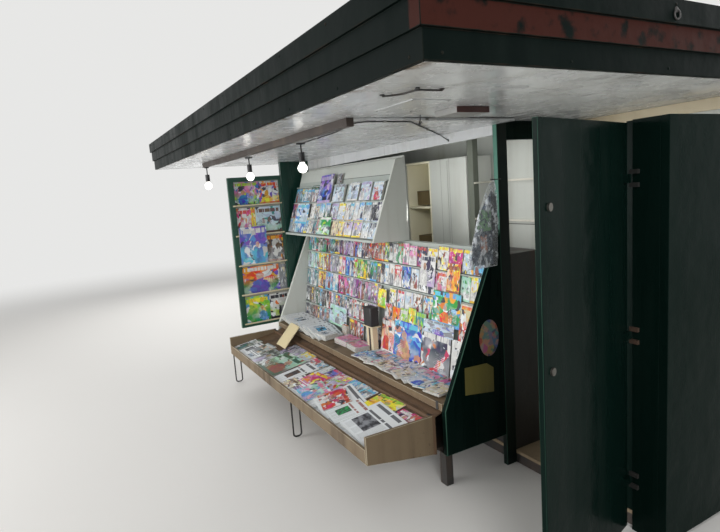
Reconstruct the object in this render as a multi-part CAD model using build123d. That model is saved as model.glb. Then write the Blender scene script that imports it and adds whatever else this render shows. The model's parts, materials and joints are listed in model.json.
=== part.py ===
from build123d import *
import os

# Street kiosk for newspapers and magazines, in millimetres.
# The front faces -Y, the entry end is +X, the ground is Z = 0 and the origin is under the
# middle of the canopy.

# Canopy
CANOPY_LENGTH = 4610
CANOPY_DEPTH = 2224
CANOPY_UNDERSIDE = 2125
FASCIA_HEIGHT = 252
FASCIA_BANDS = 3
BAND_STEP = 13
FASCIA_BOARD = 20
ROOF_RECESS = 10
ROOF_SHEET = 8
SOFFIT_SHEET = 8

# Body of the kiosk, set in from the canopy's edges
OVERHANG_NEAR = 218
OVERHANG_FAR = 570
OVERHANG_BACK = 69
WALL_FOOT = 15
BACK_WALL_THICKNESS = 40
NEAR_WALL_THICKNESS = 40
FAR_WALL_THICKNESS = 35
END_WALL_GAP = 108
FAR_WALL_REACH = 272
FAR_STILE_DEPTH = 60
FAR_STILE_THICKNESS = 48

# Floor
FLOOR_DEPTH = 643
SKID_WIDTH = 60
SKID_HEIGHT = 60
JOIST_WIDTH = 50
JOIST_COUNT = 6
DECK_THICKNESS = 20

# Entry bay and its door
NEAR_POST_WIDTH = 134
NEAR_POST_DEPTH = 72
ENTRY_WIDTH = 818
ENTRY_SILL = 32
DOOR_STOP_WIDTH = 54
DOOR_STOP_GAP = 8
DOOR_FREE_GAP = 15
DOOR_THICKNESS = 26
DOOR_BOTTOM = 25
DOOR_HEADROOM = 120
DOOR_SIDE_GAP = 10
DOOR_OPEN_ANGLE = 104
DOOR_FRAME = 34
DOOR_SHEET = 4
DOOR_RAIL_HEIGHTS = (640, 1290)
DOOR_HINGE_INSET = 250
LOCK_HEIGHT = 1045
TOP_LOCK_DROP = 325
LOCK_RADIUS = 16
LOCK_LENGTH = 9
LOCK_SETBACK = 60
TRIM_HEIGHT = 60
TRIM_THICKNESS = 18

# Hinges
HINGE_OFFSET = 10
PIN_RADIUS = 4
PIN_GAP = 0.3
KNUCKLE_RADIUS = 7
KNUCKLE_HEIGHT = 40
HINGE_ARM_HEIGHT = 20
HINGE_ARM_LENGTH = 42
HINGE_STRAP_LENGTH = 55

# Display front: posts, lintel, header and raised flap
POST_THICKNESS = 35
POST_DEPTH = 77
FAR_POST_WIDTH = 85
HEADER_HEIGHT = 108
HEADER_NEAR_HEIGHT = 76
HEADER_THICKNESS = 22
LINTEL_HEIGHT = 108
FLAP_THICKNESS = 12
FLAP_REACH = 1057
FLAP_PAST_POST = 145
FLAP_REAR_DROP = 6
FLAP_BEAM_DEPTH = 40
FLAP_BEAM_HEIGHT = 40

# Display stand under the flap
STAND_DEPTH = 468
BODY_UNDERSIDE = 207
BODY_FLOOR_SHEET = 5
FOOT_WIDTH = 60
FOOT_DEPTH = 50
FOOT_SETBACK = 12
FOOT_COUNT = 3
SIDE_PANEL = 35
COUNTER_TOP = 518
COUNTER_BOARD = 18
COUNTER_RAIL_HEIGHT = 44
COUNTER_RAIL_THICKNESS = 18
SIDE_FRONT_TOP = 480
SIDE_KNEE_DEPTH = 120
SIDE_KNEE_HEIGHT = 1243
SIDE_TOP = 1500
BOARD_FOOT_DEPTH = 163
BOARD_HEAD_DEPTH = 33
DISPLAY_TOP = 1385
DISPLAY_BOARD = 15
PARTITION = 15
LEDGE_COUNT = 4
LEDGE_DEPTH = 26
LEDGE_THICKNESS = 8

# Stand for the black box on the counter
PEDESTAL_FROM_POST = 1142
PEDESTAL_FROM_FRONT = 218
PEDESTAL_WIDTH = 95
PEDESTAL_DEPTH = 45
PEDESTAL_HEIGHT = 205
PEDESTAL_TOP_LIP = 32
PEDESTAL_TOP_BOARD = 9
BLACK_BOX_WIDTH = 120
BLACK_BOX_DEPTH = 76
BLACK_BOX_HEIGHT = 148
BLACK_BOX_ROUND = 12

# Upper magazine rack
SERVICE_WINDOW = 946
RACK_BOARD = 18
RACK_FRONT_DEPTH = 305
RACK_BOTTOM = 1395
RACK_HEAD_DEPTH = 65
RACK_TOP_GAP = 22
RACK_LIP = 42
RACK_LEDGES = 3

# Pull-out tray and what carries it
TRAY_PULLED_OUT = 44
TRAY_DEPTH = 469
TRAY_SIDE_CLEARANCE = 8
TRAY_FRONT_BOTTOM = 297
TRAY_LIP_TOP = 381
TRAY_END_TOP = 460
TRAY_BOARD = 18
TRAY_DECK_FRONT = 352
TRAY_DECK_REAR = 430
TRAY_DECK_BOARD = 12
TRAY_BOTTOM_SHEET = 6
BRACKET_LENGTH = 46
BRACKET_SHEET = 3
GUIDE_THICKNESS = 5.7
GUIDE_WIDTH = 40
GUIDE_COUNT = 3
GUIDE_INSET = 60
ARM_LENGTH = 100
ARM_WIDTH = 30
ARM_THICKNESS = 12
LEG_RADIUS = 6
LEG_SPREAD = 62
LEG_BEND = 22
LEG_GROUND_GAP = 6
LEG_SETBACK = 16
LEG_PLACES = (22, 1500)

# Wing rack hinged on the far end wall
WING_WIDTH = 540
WING_THICKNESS = 35
WING_BOTTOM = 500
WING_HEADROOM = 141
WING_FRONT_STILE = 56
WING_REAR_STILE = 18
WING_FOOT_BORDER = 34
WING_HEAD_BORDER = 40
WING_DIVIDER = 10
WING_WINDOWS = 5
WING_WINDOW_PITCH = 294
WING_BACKING = 6
WING_REAR_GAP = 5
WING_RAIL_HEIGHT = 14
WING_RAIL_PROUD = 8
WING_HINGE_INSET = 142

# Fittings inside, set out from the display post
FITTING_DEPTH = 250
FITTING_HEADROOM = 145
FITTING_BOARD = 18
FITTINGS_FROM_POST = 837
SHELVES_WIDTH = 460
CLOSET_WIDTH = 459
NICHE_WIDTH = 342
SHELF_BAYS = 5
CLOSET_DOOR = 18
CLOSET_DOOR_GAP = 4
UPRIGHT_GAP = 4
UPRIGHT_WIDTH = 64
UPRIGHT_DEPTH = 50
UPRIGHT_SETBACK = 10
BATTEN_HEIGHTS = (1470, 1770)
BATTEN_HEIGHT = 14
BATTEN_DEPTH = 20
STOCK_CABINET_WIDTH = 485
STOCK_CABINET_DEPTH = 245
STOCK_CABINET_TOP = 1340
STOCK_CABINET_GAP = 5
LIGHT_BOX_FROM_POST = 333
LIGHT_BOX_LENGTH = 162
LIGHT_BOX_WIDTH = 188
LIGHT_BOX_FORWARD = 729
LIGHT_BOX_HEIGHT = 27

# Bulbs under the flap
BULB_NEAR_INSET = 840
BULB_MIDDLE_INSET = 745
BULB_FAR_INSET = 68
BULB_FORWARD = 853
BULB_RADIUS = 31
BULB_DROP = 172
BULB_FAR_DROP = 208
HOLDER_RADIUS = 19
HOLDER_LENGTH = 64
NECK_RADIUS = 15
NECK_LENGTH = 6
STEM_RADIUS = 5
ROSE_RADIUS = 30
ROSE_HEIGHT = 8

# Cable that feeds the bulbs, clipped under the flap. Each place is measured from the display
# post, towards the near end and to the front.
CABLE_RADIUS = 3
CABLE_PLACES = ((-270, 890), (155, 983), (155, 683), (-480, 0))
CABLE_BENDS = (90, 60, 60, 12, 8)
CABLE_DROP = 40
CABLE_SHIFT = 72
CABLE_HOLE_RADIUS = 8
CLIP_LENGTH = 16
CLIP_WIDTH = 12
CLIP_SHEET = 2

# Bag of magazines hanging beside the display
BAG_WIDTH = 200
BAG_HEIGHT = 480
BAG_THICKNESS = 9
BAG_DROP = 335
BAG_FORWARD = 233
HOOK_RADIUS = 3
SOFT_GAP = 0.3

# Faces shared by several pieces
HALF_LENGTH = CANOPY_LENGTH / 2
HALF_DEPTH = CANOPY_DEPTH / 2
NEAR_FACE = HALF_LENGTH - OVERHANG_NEAR
FAR_FACE = -HALF_LENGTH + OVERHANG_FAR
BACK_FACE = HALF_DEPTH - OVERHANG_BACK
BACK_INSIDE = BACK_FACE - BACK_WALL_THICKNESS
NEAR_INSIDE = NEAR_FACE - NEAR_WALL_THICKNESS
FAR_INSIDE = FAR_FACE + FAR_WALL_THICKNESS
NEAR_WALL_TOP = CANOPY_UNDERSIDE - END_WALL_GAP
FLOOR_FRONT = BACK_INSIDE - FLOOR_DEPTH
FLOOR_TOP = SKID_HEIGHT + DECK_THICKNESS
FASCIA_INSET = BAND_STEP * (FASCIA_BANDS - 1) + FASCIA_BOARD
ROOF_TOP = CANOPY_UNDERSIDE + FASCIA_HEIGHT

ENTRY_FRONT = FLOOR_FRONT - ENTRY_SILL
ENTRY_NEAR = NEAR_INSIDE - NEAR_POST_WIDTH
ENTRY_FAR = ENTRY_NEAR - ENTRY_WIDTH
DOOR_TOP = CANOPY_UNDERSIDE - DOOR_HEADROOM
DOOR_WIDTH = ENTRY_WIDTH - DOOR_SIDE_GAP - DOOR_FREE_GAP
DOOR_LEFT = ENTRY_FAR + DOOR_FREE_GAP
DOOR_HINGE_HEIGHTS = (DOOR_BOTTOM + DOOR_HINGE_INSET, (DOOR_BOTTOM + DOOR_TOP) / 2,
                      DOOR_TOP - DOOR_HINGE_INSET)
HINGE_X = ENTRY_NEAR - DOOR_SIDE_GAP / 2
HINGE_Y = ENTRY_FRONT - HINGE_OFFSET

POST_FRONT = FLOOR_FRONT - POST_DEPTH
DISPLAY_NEAR = ENTRY_FAR - POST_THICKNESS
DISPLAY_FAR = FAR_INSIDE + FAR_POST_WIDTH
PARTITION_BACK = POST_FRONT + PARTITION
HEADER_BOTTOM = CANOPY_UNDERSIDE - HEADER_HEIGHT
FLAP_FRONT = POST_FRONT - FLAP_REACH
FLAP_NEAR = ENTRY_FAR + FLAP_PAST_POST
FLAP_REAR_TOP = CANOPY_UNDERSIDE - FLAP_REAR_DROP
COUNTER_FRONT = POST_FRONT - STAND_DEPTH
BOARD_FOOT = POST_FRONT - BOARD_FOOT_DEPTH
BOARD_HEAD = POST_FRONT - BOARD_HEAD_DEPTH
RACK_FRONT = POST_FRONT - RACK_FRONT_DEPTH
RACK_HEAD_FRONT = POST_FRONT - RACK_HEAD_DEPTH
RACK_TOP = HEADER_BOTTOM - RACK_TOP_GAP
RACK_NEAR_END = DISPLAY_NEAR - SERVICE_WINDOW

TRAY_BOTTOM = BODY_UNDERSIDE + BODY_FLOOR_SHEET + GUIDE_THICKNESS + PIN_GAP
TRAY_REAR = COUNTER_FRONT - TRAY_PULLED_OUT
TRAY_FRONT = TRAY_REAR - TRAY_DEPTH
TRAY_FAR = DISPLAY_FAR + TRAY_SIDE_CLEARANCE
TRAY_NEAR = DISPLAY_NEAR - TRAY_SIDE_CLEARANCE

FAR_WALL_FRONT = POST_FRONT - FAR_WALL_REACH
WING_AXIS_X = FAR_FACE - HINGE_OFFSET
WING_AXIS_Y = FAR_WALL_FRONT - WING_REAR_GAP / 2
WING_BACK = FAR_WALL_FRONT - WING_REAR_GAP
WING_FRONT = WING_BACK - WING_WIDTH
WING_TOP = CANOPY_UNDERSIDE - WING_HEADROOM
WING_HINGE_HEIGHTS = (WING_BOTTOM + WING_HINGE_INSET, WING_TOP - WING_HINGE_INSET)

FITTING_TOP = CANOPY_UNDERSIDE - FITTING_HEADROOM
CLOSET_NEAR = ENTRY_FAR - FITTINGS_FROM_POST
NICHE_NEAR = CLOSET_NEAR - CLOSET_WIDTH
SHELVES_NEAR = NICHE_NEAR - NICHE_WIDTH
BULB_CENTRE = CANOPY_UNDERSIDE - BULB_DROP
BULB_FAR_CENTRE = CANOPY_UNDERSIDE - BULB_FAR_DROP
BULB_PLACES = ((DISPLAY_NEAR - BULB_NEAR_INSET, POST_FRONT - BULB_FORWARD, BULB_CENTRE),
               (DISPLAY_FAR + BULB_MIDDLE_INSET, POST_FRONT - BULB_FORWARD, BULB_CENTRE),
               (DISPLAY_FAR + BULB_FAR_INSET, FLAP_FRONT + FLAP_BEAM_DEPTH / 2, BULB_FAR_CENTRE))
BAG_TOP = CANOPY_UNDERSIDE - BAG_DROP
BAG_FRONT = POST_FRONT - BAG_FORWARD


def block(x, y, z):
    """Board or bar between two limits on each axis."""
    centre = [(low + high) / 2 for low, high in (x, y, z)]
    size = [high - low for low, high in (x, y, z)]
    return Pos(*centre) * Box(*size)


def along_x(points, x):
    """Section given as (y, z) points, carried from x[0] to x[1]."""
    outline = Plane.YZ.offset(x[0]) * Polyline(*points, close=True)
    return extrude(make_face(outline.edges()), amount=x[1] - x[0], dir=(1, 0, 0))


def along_z(points, z):
    """Section given as (x, y) points, carried from z[0] to z[1]."""
    outline = Plane.XY.offset(z[0]) * Polyline(*points, close=True)
    return extrude(make_face(outline.edges()), amount=z[1] - z[0], dir=(0, 0, 1))


def upright(x, y, radius, z):
    """Round bar standing at (x, y) between two heights."""
    return Pos(x, y, (z[0] + z[1]) / 2) * Cylinder(radius, z[1] - z[0])


def spaced(first, last, count):
    """Evenly spaced places from first to last, both included."""
    return [first + (last - first) * index / (count - 1) for index in range(count)]


def fascia_ring():
    """The whole stepped fascia, widest at its top band."""
    band_height = FASCIA_HEIGHT / FASCIA_BANDS
    ring = None
    for band in range(FASCIA_BANDS):
        top = ROOF_TOP - band * band_height
        long_half = HALF_LENGTH - band * BAND_STEP
        deep_half = HALF_DEPTH - band * BAND_STEP
        layer = block((-long_half, long_half), (-deep_half, deep_half), (top - band_height, top))
        ring = layer if ring is None else ring + layer
    inner_long = HALF_LENGTH - FASCIA_INSET
    inner_deep = HALF_DEPTH - FASCIA_INSET
    return ring - block((-inner_long, inner_long), (-inner_deep, inner_deep), (CANOPY_UNDERSIDE, ROOF_TOP))


def fascia_sides():
    """The four fascias, cut apart on their mitres."""
    ring = fascia_ring()
    heights = (CANOPY_UNDERSIDE, ROOF_TOP)
    shoulder = HALF_LENGTH - HALF_DEPTH
    front = [(-HALF_LENGTH, -HALF_DEPTH), (HALF_LENGTH, -HALF_DEPTH), (shoulder, 0), (-shoulder, 0)]
    back = [(x, -y) for x, y in front]
    near = [(HALF_LENGTH, -HALF_DEPTH), (HALF_LENGTH, HALF_DEPTH), (shoulder, 0)]
    far = [(-x, y) for x, y in near]
    regions = {"fascia_front": front, "fascia_back": back, "fascia_near": near, "fascia_far": far}
    return {name: ring & along_z(outline, heights) for name, outline in regions.items()}


def roof_deck():
    x = HALF_LENGTH - FASCIA_INSET
    y = HALF_DEPTH - FASCIA_INSET
    top = ROOF_TOP - ROOF_RECESS
    return block((-x, x), (-y, y), (top - ROOF_SHEET, top))


def soffit(x):
    y = HALF_DEPTH - FASCIA_INSET
    return block(x, (-y, y), (CANOPY_UNDERSIDE, CANOPY_UNDERSIDE + SOFFIT_SHEET))


def base_skids():
    x = (FAR_INSIDE, NEAR_INSIDE)
    front = block(x, (FLOOR_FRONT, FLOOR_FRONT + SKID_WIDTH), (0, SKID_HEIGHT))
    back = block(x, (BACK_INSIDE - SKID_WIDTH, BACK_INSIDE), (0, SKID_HEIGHT))
    return [front, back]


def floor_joists():
    y = (FLOOR_FRONT + SKID_WIDTH, BACK_INSIDE - SKID_WIDTH)
    starts = spaced(FAR_INSIDE, NEAR_INSIDE - JOIST_WIDTH, JOIST_COUNT)
    return [block((start, start + JOIST_WIDTH), y, (0, SKID_HEIGHT)) for start in starts]


def floor_deck():
    return block((FAR_INSIDE, NEAR_INSIDE), (FLOOR_FRONT, BACK_INSIDE), (SKID_HEIGHT, FLOOR_TOP))


def back_wall():
    return block((FAR_FACE, NEAR_FACE), (BACK_INSIDE, BACK_FACE), (WALL_FOOT, CANOPY_UNDERSIDE))


def far_end_wall():
    """Sheeted end wall with a thicker stile on its front edge."""
    heights = (WALL_FOOT, CANOPY_UNDERSIDE)
    sheet = block((FAR_FACE, FAR_INSIDE), (FAR_WALL_FRONT, BACK_INSIDE), heights)
    stile = block((FAR_FACE, FAR_FACE + FAR_STILE_THICKNESS),
                  (FAR_WALL_FRONT, FAR_WALL_FRONT + FAR_STILE_DEPTH), heights)
    return sheet + stile


def near_end_wall():
    return block((NEAR_INSIDE, NEAR_FACE), (ENTRY_FRONT, BACK_INSIDE), (WALL_FOOT, NEAR_WALL_TOP))


def near_post():
    """Hinge post of the entry. It stands on the ground just ahead of the floor."""
    width = (ENTRY_NEAR, NEAR_INSIDE)
    front = block(width, (ENTRY_FRONT, FLOOR_FRONT), (0, NEAR_WALL_TOP))
    upper = block(width, (FLOOR_FRONT, ENTRY_FRONT + NEAR_POST_DEPTH), (FLOOR_TOP, NEAR_WALL_TOP))
    return front + upper


def door_stop():
    """Strip on the hinge post that the closed door comes up to, behind the gap at the hinges."""
    return block((ENTRY_NEAR - DOOR_STOP_WIDTH, ENTRY_NEAR),
                 (ENTRY_FRONT + DOOR_THICKNESS + DOOR_STOP_GAP, ENTRY_FRONT + NEAR_POST_DEPTH),
                 (FLOOR_TOP, NEAR_WALL_TOP))


def display_posts():
    y = (POST_FRONT, POST_FRONT + POST_DEPTH)
    near = block((DISPLAY_NEAR, ENTRY_FAR), y, (0, CANOPY_UNDERSIDE))
    far = block((FAR_INSIDE, DISPLAY_FAR), y, (0, CANOPY_UNDERSIDE))
    return [near, far]


def passage_lintel():
    return block((DISPLAY_NEAR, ENTRY_FAR), (POST_FRONT + POST_DEPTH, BACK_INSIDE),
                 (CANOPY_UNDERSIDE - LINTEL_HEIGHT, CANOPY_UNDERSIDE))


def header_board():
    """Board over the display, narrower towards the entry."""
    outline = [(DISPLAY_FAR, HEADER_BOTTOM), (DISPLAY_NEAR, CANOPY_UNDERSIDE - HEADER_NEAR_HEIGHT),
               (DISPLAY_NEAR, CANOPY_UNDERSIDE), (DISPLAY_FAR, CANOPY_UNDERSIDE)]
    face = Plane.XZ.offset(-POST_FRONT) * Polyline(*outline, close=True)
    board = extrude(make_face(face.edges()), amount=HEADER_THICKNESS, dir=(0, 1, 0))
    x, y, z = cable_route()[-1]
    hole = Pos(x, (POST_FRONT + y) / 2, z) * Rot(90, 0, 0) * Cylinder(CABLE_HOLE_RADIUS, y - POST_FRONT)
    return board - hole


def flap_underside(y):
    """Height of the flap's lower face at a distance y from the middle of the canopy."""
    share = (y - POST_FRONT) / (FLAP_FRONT - POST_FRONT)
    return FLAP_REAR_TOP - FLAP_THICKNESS + share * FLAP_REAR_DROP


def front_flap():
    """Raised upper door, folded up against the soffit."""
    beam_back = FLAP_FRONT + FLAP_BEAM_DEPTH
    panel = [(POST_FRONT, flap_underside(POST_FRONT)),
             (beam_back, flap_underside(beam_back)),
             (beam_back, flap_underside(beam_back) + FLAP_THICKNESS),
             (POST_FRONT, FLAP_REAR_TOP)]
    return along_x(panel, (DISPLAY_FAR, FLAP_NEAR))


def flap_beam():
    """Edge beam of the flap, hooked up against the soffit."""
    return block((DISPLAY_FAR, FLAP_NEAR), (FLAP_FRONT, FLAP_FRONT + FLAP_BEAM_DEPTH),
                 (CANOPY_UNDERSIDE - FLAP_BEAM_HEIGHT, CANOPY_UNDERSIDE))


def side_outline():
    return [(COUNTER_FRONT, BODY_UNDERSIDE), (COUNTER_FRONT, SIDE_FRONT_TOP),
            (POST_FRONT - SIDE_KNEE_DEPTH, SIDE_KNEE_HEIGHT),
            (POST_FRONT, SIDE_TOP), (POST_FRONT, BODY_UNDERSIDE)]


def display_floor():
    return block((DISPLAY_FAR, DISPLAY_NEAR), (COUNTER_FRONT, POST_FRONT),
                 (BODY_UNDERSIDE, BODY_UNDERSIDE + BODY_FLOOR_SHEET))


def display_feet():
    y = (COUNTER_FRONT + FOOT_SETBACK, COUNTER_FRONT + FOOT_SETBACK + FOOT_DEPTH)
    starts = spaced(DISPLAY_FAR, DISPLAY_NEAR - FOOT_WIDTH, FOOT_COUNT)
    return [block((start, start + FOOT_WIDTH), y, (0, BODY_UNDERSIDE)) for start in starts]


def partition():
    """Upright board behind the display, taller where it backs the upper rack."""
    y = (POST_FRONT, PARTITION_BACK)
    low = block((DISPLAY_FAR, DISPLAY_NEAR), y, (BODY_UNDERSIDE, DISPLAY_TOP))
    high = block((DISPLAY_FAR, RACK_NEAR_END), y, (DISPLAY_TOP, HEADER_BOTTOM))
    return low + high


def board_front(z):
    """Distance of the display board's front face from the middle of the canopy."""
    share = (z - COUNTER_TOP) / (DISPLAY_TOP - COUNTER_TOP)
    return BOARD_FOOT + share * (BOARD_HEAD - BOARD_FOOT)


def display_board():
    """Leaning board for magazines, with a flat cap that meets the partition."""
    cap = DISPLAY_TOP - DISPLAY_BOARD
    outline = [(BOARD_FOOT, COUNTER_TOP),
               (BOARD_HEAD, DISPLAY_TOP),
               (POST_FRONT, DISPLAY_TOP),
               (POST_FRONT, cap),
               (board_front(cap) + DISPLAY_BOARD, cap),
               (BOARD_FOOT + DISPLAY_BOARD, COUNTER_TOP)]
    return along_x(outline, (DISPLAY_FAR, DISPLAY_NEAR))


def rack_face_front(z):
    """Front face of the upper rack's leaning board."""
    share = (z - RACK_BOTTOM) / (RACK_TOP - RACK_BOTTOM)
    return RACK_FRONT + RACK_LIP + share * (RACK_HEAD_FRONT - RACK_FRONT - RACK_LIP)


def magazine_ledges():
    """Ledges that magazines stand on, on the display board and on the upper rack."""
    ledges = []
    step = (DISPLAY_TOP - COUNTER_TOP) / (LEDGE_COUNT + 1)
    for index in range(LEDGE_COUNT):
        top = COUNTER_TOP + (index + 1) * step
        low = top - LEDGE_THICKNESS
        outline = [(board_front(low), low), (board_front(top), top),
                   (board_front(top) - LEDGE_DEPTH, top), (board_front(low) - LEDGE_DEPTH, low)]
        ledges.append(along_x(outline, (DISPLAY_FAR, DISPLAY_NEAR)))
    return ledges


def rack_ledges():
    ledges = []
    step = (RACK_TOP - RACK_BOTTOM) / (RACK_LEDGES + 1)
    for index in range(RACK_LEDGES):
        top = RACK_BOTTOM + (index + 1) * step
        low = top - LEDGE_THICKNESS
        outline = [(rack_face_front(low), low), (rack_face_front(top), top),
                   (rack_face_front(top) - LEDGE_DEPTH, top),
                   (rack_face_front(low) - LEDGE_DEPTH, low)]
        ledges.append(along_x(outline, (DISPLAY_FAR, RACK_NEAR_END - RACK_BOARD)))
    return ledges


def upper_rack():
    """Sloping bottom board and leaning back board in one, meeting the partition."""
    floor_front_top = RACK_BOTTOM + RACK_BOARD
    outline = [(RACK_FRONT, RACK_BOTTOM),
               (BOARD_HEAD, DISPLAY_TOP),
               (POST_FRONT, DISPLAY_TOP),
               (POST_FRONT, DISPLAY_TOP + RACK_BOARD),
               (rack_face_front(floor_front_top) + RACK_BOARD, floor_front_top),
               (RACK_HEAD_FRONT + RACK_BOARD, RACK_TOP),
               (RACK_HEAD_FRONT, RACK_TOP),
               (rack_face_front(floor_front_top), floor_front_top),
               (RACK_FRONT, floor_front_top)]
    return along_x(outline, (DISPLAY_FAR, RACK_NEAR_END - RACK_BOARD))


def rack_side():
    """Grey-white board that closes the upper rack's near end."""
    outline = [(RACK_FRONT, RACK_BOTTOM), (RACK_HEAD_FRONT, RACK_TOP), (POST_FRONT, RACK_TOP),
               (POST_FRONT, DISPLAY_TOP), (BOARD_HEAD, DISPLAY_TOP)]
    return along_x(outline, (RACK_NEAR_END - RACK_BOARD, RACK_NEAR_END))


def counter():
    """Counter board with a deeper rail along its front edge."""
    rail_back = COUNTER_FRONT + COUNTER_RAIL_THICKNESS
    outline = [(COUNTER_FRONT, COUNTER_TOP), (COUNTER_FRONT, COUNTER_TOP - COUNTER_RAIL_HEIGHT),
               (rail_back, COUNTER_TOP - COUNTER_RAIL_HEIGHT),
               (rail_back, COUNTER_TOP - COUNTER_BOARD),
               (POST_FRONT, COUNTER_TOP - COUNTER_BOARD), (POST_FRONT, COUNTER_TOP)]
    return along_x(outline, (DISPLAY_FAR, DISPLAY_NEAR))


def guide_places():
    return spaced(DISPLAY_FAR + GUIDE_INSET, DISPLAY_NEAR - GUIDE_INSET, GUIDE_COUNT)


def tray_guides():
    floor = BODY_UNDERSIDE + BODY_FLOOR_SHEET
    heights = (floor, floor + GUIDE_THICKNESS)
    return [block((x - GUIDE_WIDTH / 2, x + GUIDE_WIDTH / 2), (COUNTER_FRONT, POST_FRONT), heights)
            for x in guide_places()]


def tray_underside(y):
    share = (y - TRAY_REAR) / (TRAY_FRONT - TRAY_REAR)
    return TRAY_BOTTOM + share * (TRAY_FRONT_BOTTOM - TRAY_BOTTOM)


def tray_deck_top(y):
    share = (y - TRAY_REAR) / (TRAY_FRONT - TRAY_REAR)
    return TRAY_DECK_REAR + share * (TRAY_DECK_FRONT - TRAY_DECK_REAR)


def tray_box():
    """Front lip, sloping bottom sheet and rear board of the tray."""
    inside = (TRAY_FAR + TRAY_BOARD, TRAY_NEAR - TRAY_BOARD)
    front_back = TRAY_FRONT + TRAY_BOARD
    rear_front = TRAY_REAR - TRAY_BOARD
    rear_top = tray_deck_top(TRAY_REAR) + TRAY_BOARD
    outline = [(TRAY_FRONT, TRAY_FRONT_BOTTOM), (TRAY_FRONT, TRAY_LIP_TOP),
               (front_back, TRAY_LIP_TOP),
               (front_back, tray_underside(front_back) + TRAY_BOTTOM_SHEET),
               (rear_front, tray_underside(rear_front) + TRAY_BOTTOM_SHEET),
               (rear_front, rear_top), (TRAY_REAR, rear_top), (TRAY_REAR, TRAY_BOTTOM)]
    return along_x(outline, inside)


def tray_deck():
    """Leaning board that the papers lie on."""
    front = TRAY_FRONT + TRAY_BOARD
    rear = TRAY_REAR - TRAY_BOARD
    outline = [(front, tray_deck_top(front)), (rear, tray_deck_top(rear)),
               (rear, tray_deck_top(rear) - TRAY_DECK_BOARD),
               (front, tray_deck_top(front) - TRAY_DECK_BOARD)]
    return along_x(outline, (TRAY_FAR + TRAY_BOARD, TRAY_NEAR - TRAY_BOARD))


def tray_ends():
    outline = [(TRAY_FRONT, TRAY_FRONT_BOTTOM), (TRAY_FRONT, TRAY_END_TOP),
               (TRAY_REAR, TRAY_END_TOP), (TRAY_REAR, TRAY_BOTTOM)]
    return [along_x(outline, (TRAY_FAR, TRAY_FAR + TRAY_BOARD)),
            along_x(outline, (TRAY_NEAR - TRAY_BOARD, TRAY_NEAR))]


def tray_brackets():
    """Steel angles that tie the tray's ends to its rear board, at the top corners."""
    rear_front = TRAY_REAR - TRAY_BOARD
    board_top = tray_deck_top(TRAY_REAR) + TRAY_BOARD
    heights = (board_top, board_top + BRACKET_SHEET)
    upright_heights = (board_top + BRACKET_SHEET, TRAY_END_TOP)
    brackets = []
    for inner, turn in ((TRAY_FAR + TRAY_BOARD, 1), (TRAY_NEAR - TRAY_BOARD, -1)):
        flat = sorted((inner, inner + turn * BRACKET_LENGTH))
        lug = sorted((inner, inner + turn * BRACKET_SHEET))
        angle = block(flat, (rear_front, TRAY_REAR), heights)
        brackets.append(angle + block(lug, (rear_front, TRAY_REAR), upright_heights))
    return brackets


def tray_arms():
    """Flat bars behind the tray that run on the guides."""
    heights = (TRAY_BOTTOM, TRAY_BOTTOM + ARM_THICKNESS)
    return [block((x - ARM_WIDTH / 2, x + ARM_WIDTH / 2), (TRAY_REAR, TRAY_REAR + ARM_LENGTH), heights)
            for x in guide_places()]


def tray_legs():
    """Bent bar legs under the tray's front, clear of the ground."""
    front = TRAY_FRONT + LEG_SETBACK
    foot = LEG_GROUND_GAP + LEG_RADIUS
    top = TRAY_END_TOP
    tray_space = along_x([(TRAY_FRONT, TRAY_FRONT_BOTTOM), (TRAY_REAR, TRAY_BOTTOM),
                          (TRAY_REAR, top + LEG_RADIUS), (TRAY_FRONT, top + LEG_RADIUS)],
                         (TRAY_FAR, TRAY_NEAR))
    legs = []
    for place in LEG_PLACES:
        x = TRAY_FAR + place
        route = FilletPolyline((x, front, top), (x, front, foot), (x, front + LEG_SPREAD, foot),
                               (x, front + LEG_SPREAD, top), radius=LEG_BEND)
        start = Plane(origin=(x, front, top), z_dir=(0, 0, -1))
        legs.append(sweep(start * Circle(LEG_RADIUS), path=route) - tray_space)
    return legs


def wing_rack():
    """Wing rack with shallow windows over one backing sheet, and its hinge straps."""
    face = FAR_FACE + WING_THICKNESS
    leaf = block((FAR_FACE, face), (WING_FRONT, WING_BACK), (WING_BOTTOM, WING_TOP))
    for bottom, top in wing_windows():
        leaf -= block((FAR_FACE + WING_BACKING, face),
                      (WING_FRONT + WING_FRONT_STILE, WING_BACK - WING_REAR_STILE), (bottom, top))
    for height in WING_HINGE_HEIGHTS:
        band = (height - KNUCKLE_HEIGHT / 2, height + KNUCKLE_HEIGHT / 2)
        strap = block((WING_AXIS_X - PIN_RADIUS, FAR_FACE),
                      (WING_AXIS_Y - HINGE_STRAP_LENGTH, WING_AXIS_Y), band)
        knuckle = upright(WING_AXIS_X, WING_AXIS_Y, KNUCKLE_RADIUS, band)
        leaf += strap + knuckle
        leaf -= upright(WING_AXIS_X, WING_AXIS_Y, PIN_RADIUS + PIN_GAP, band)
    return leaf


def wing_windows():
    """Bottom and top of each window in the wing rack. The top one takes the height that is left."""
    bottoms = [WING_BOTTOM + WING_FOOT_BORDER + index * WING_WINDOW_PITCH
               for index in range(WING_WINDOWS)]
    tops = [bottom - WING_DIVIDER for bottom in bottoms[1:]] + [WING_TOP - WING_HEAD_BORDER]
    return list(zip(bottoms, tops))


def wing_rails():
    """Pale rails across the foot of each window."""
    y = (WING_FRONT + WING_FRONT_STILE / 2, WING_BACK - WING_REAR_STILE / 2)
    face = FAR_FACE + WING_THICKNESS
    half = WING_RAIL_HEIGHT / 2
    return [block((face, face + WING_RAIL_PROUD), y, (bottom - half, bottom + half))
            for bottom, top in wing_windows()]


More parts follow.
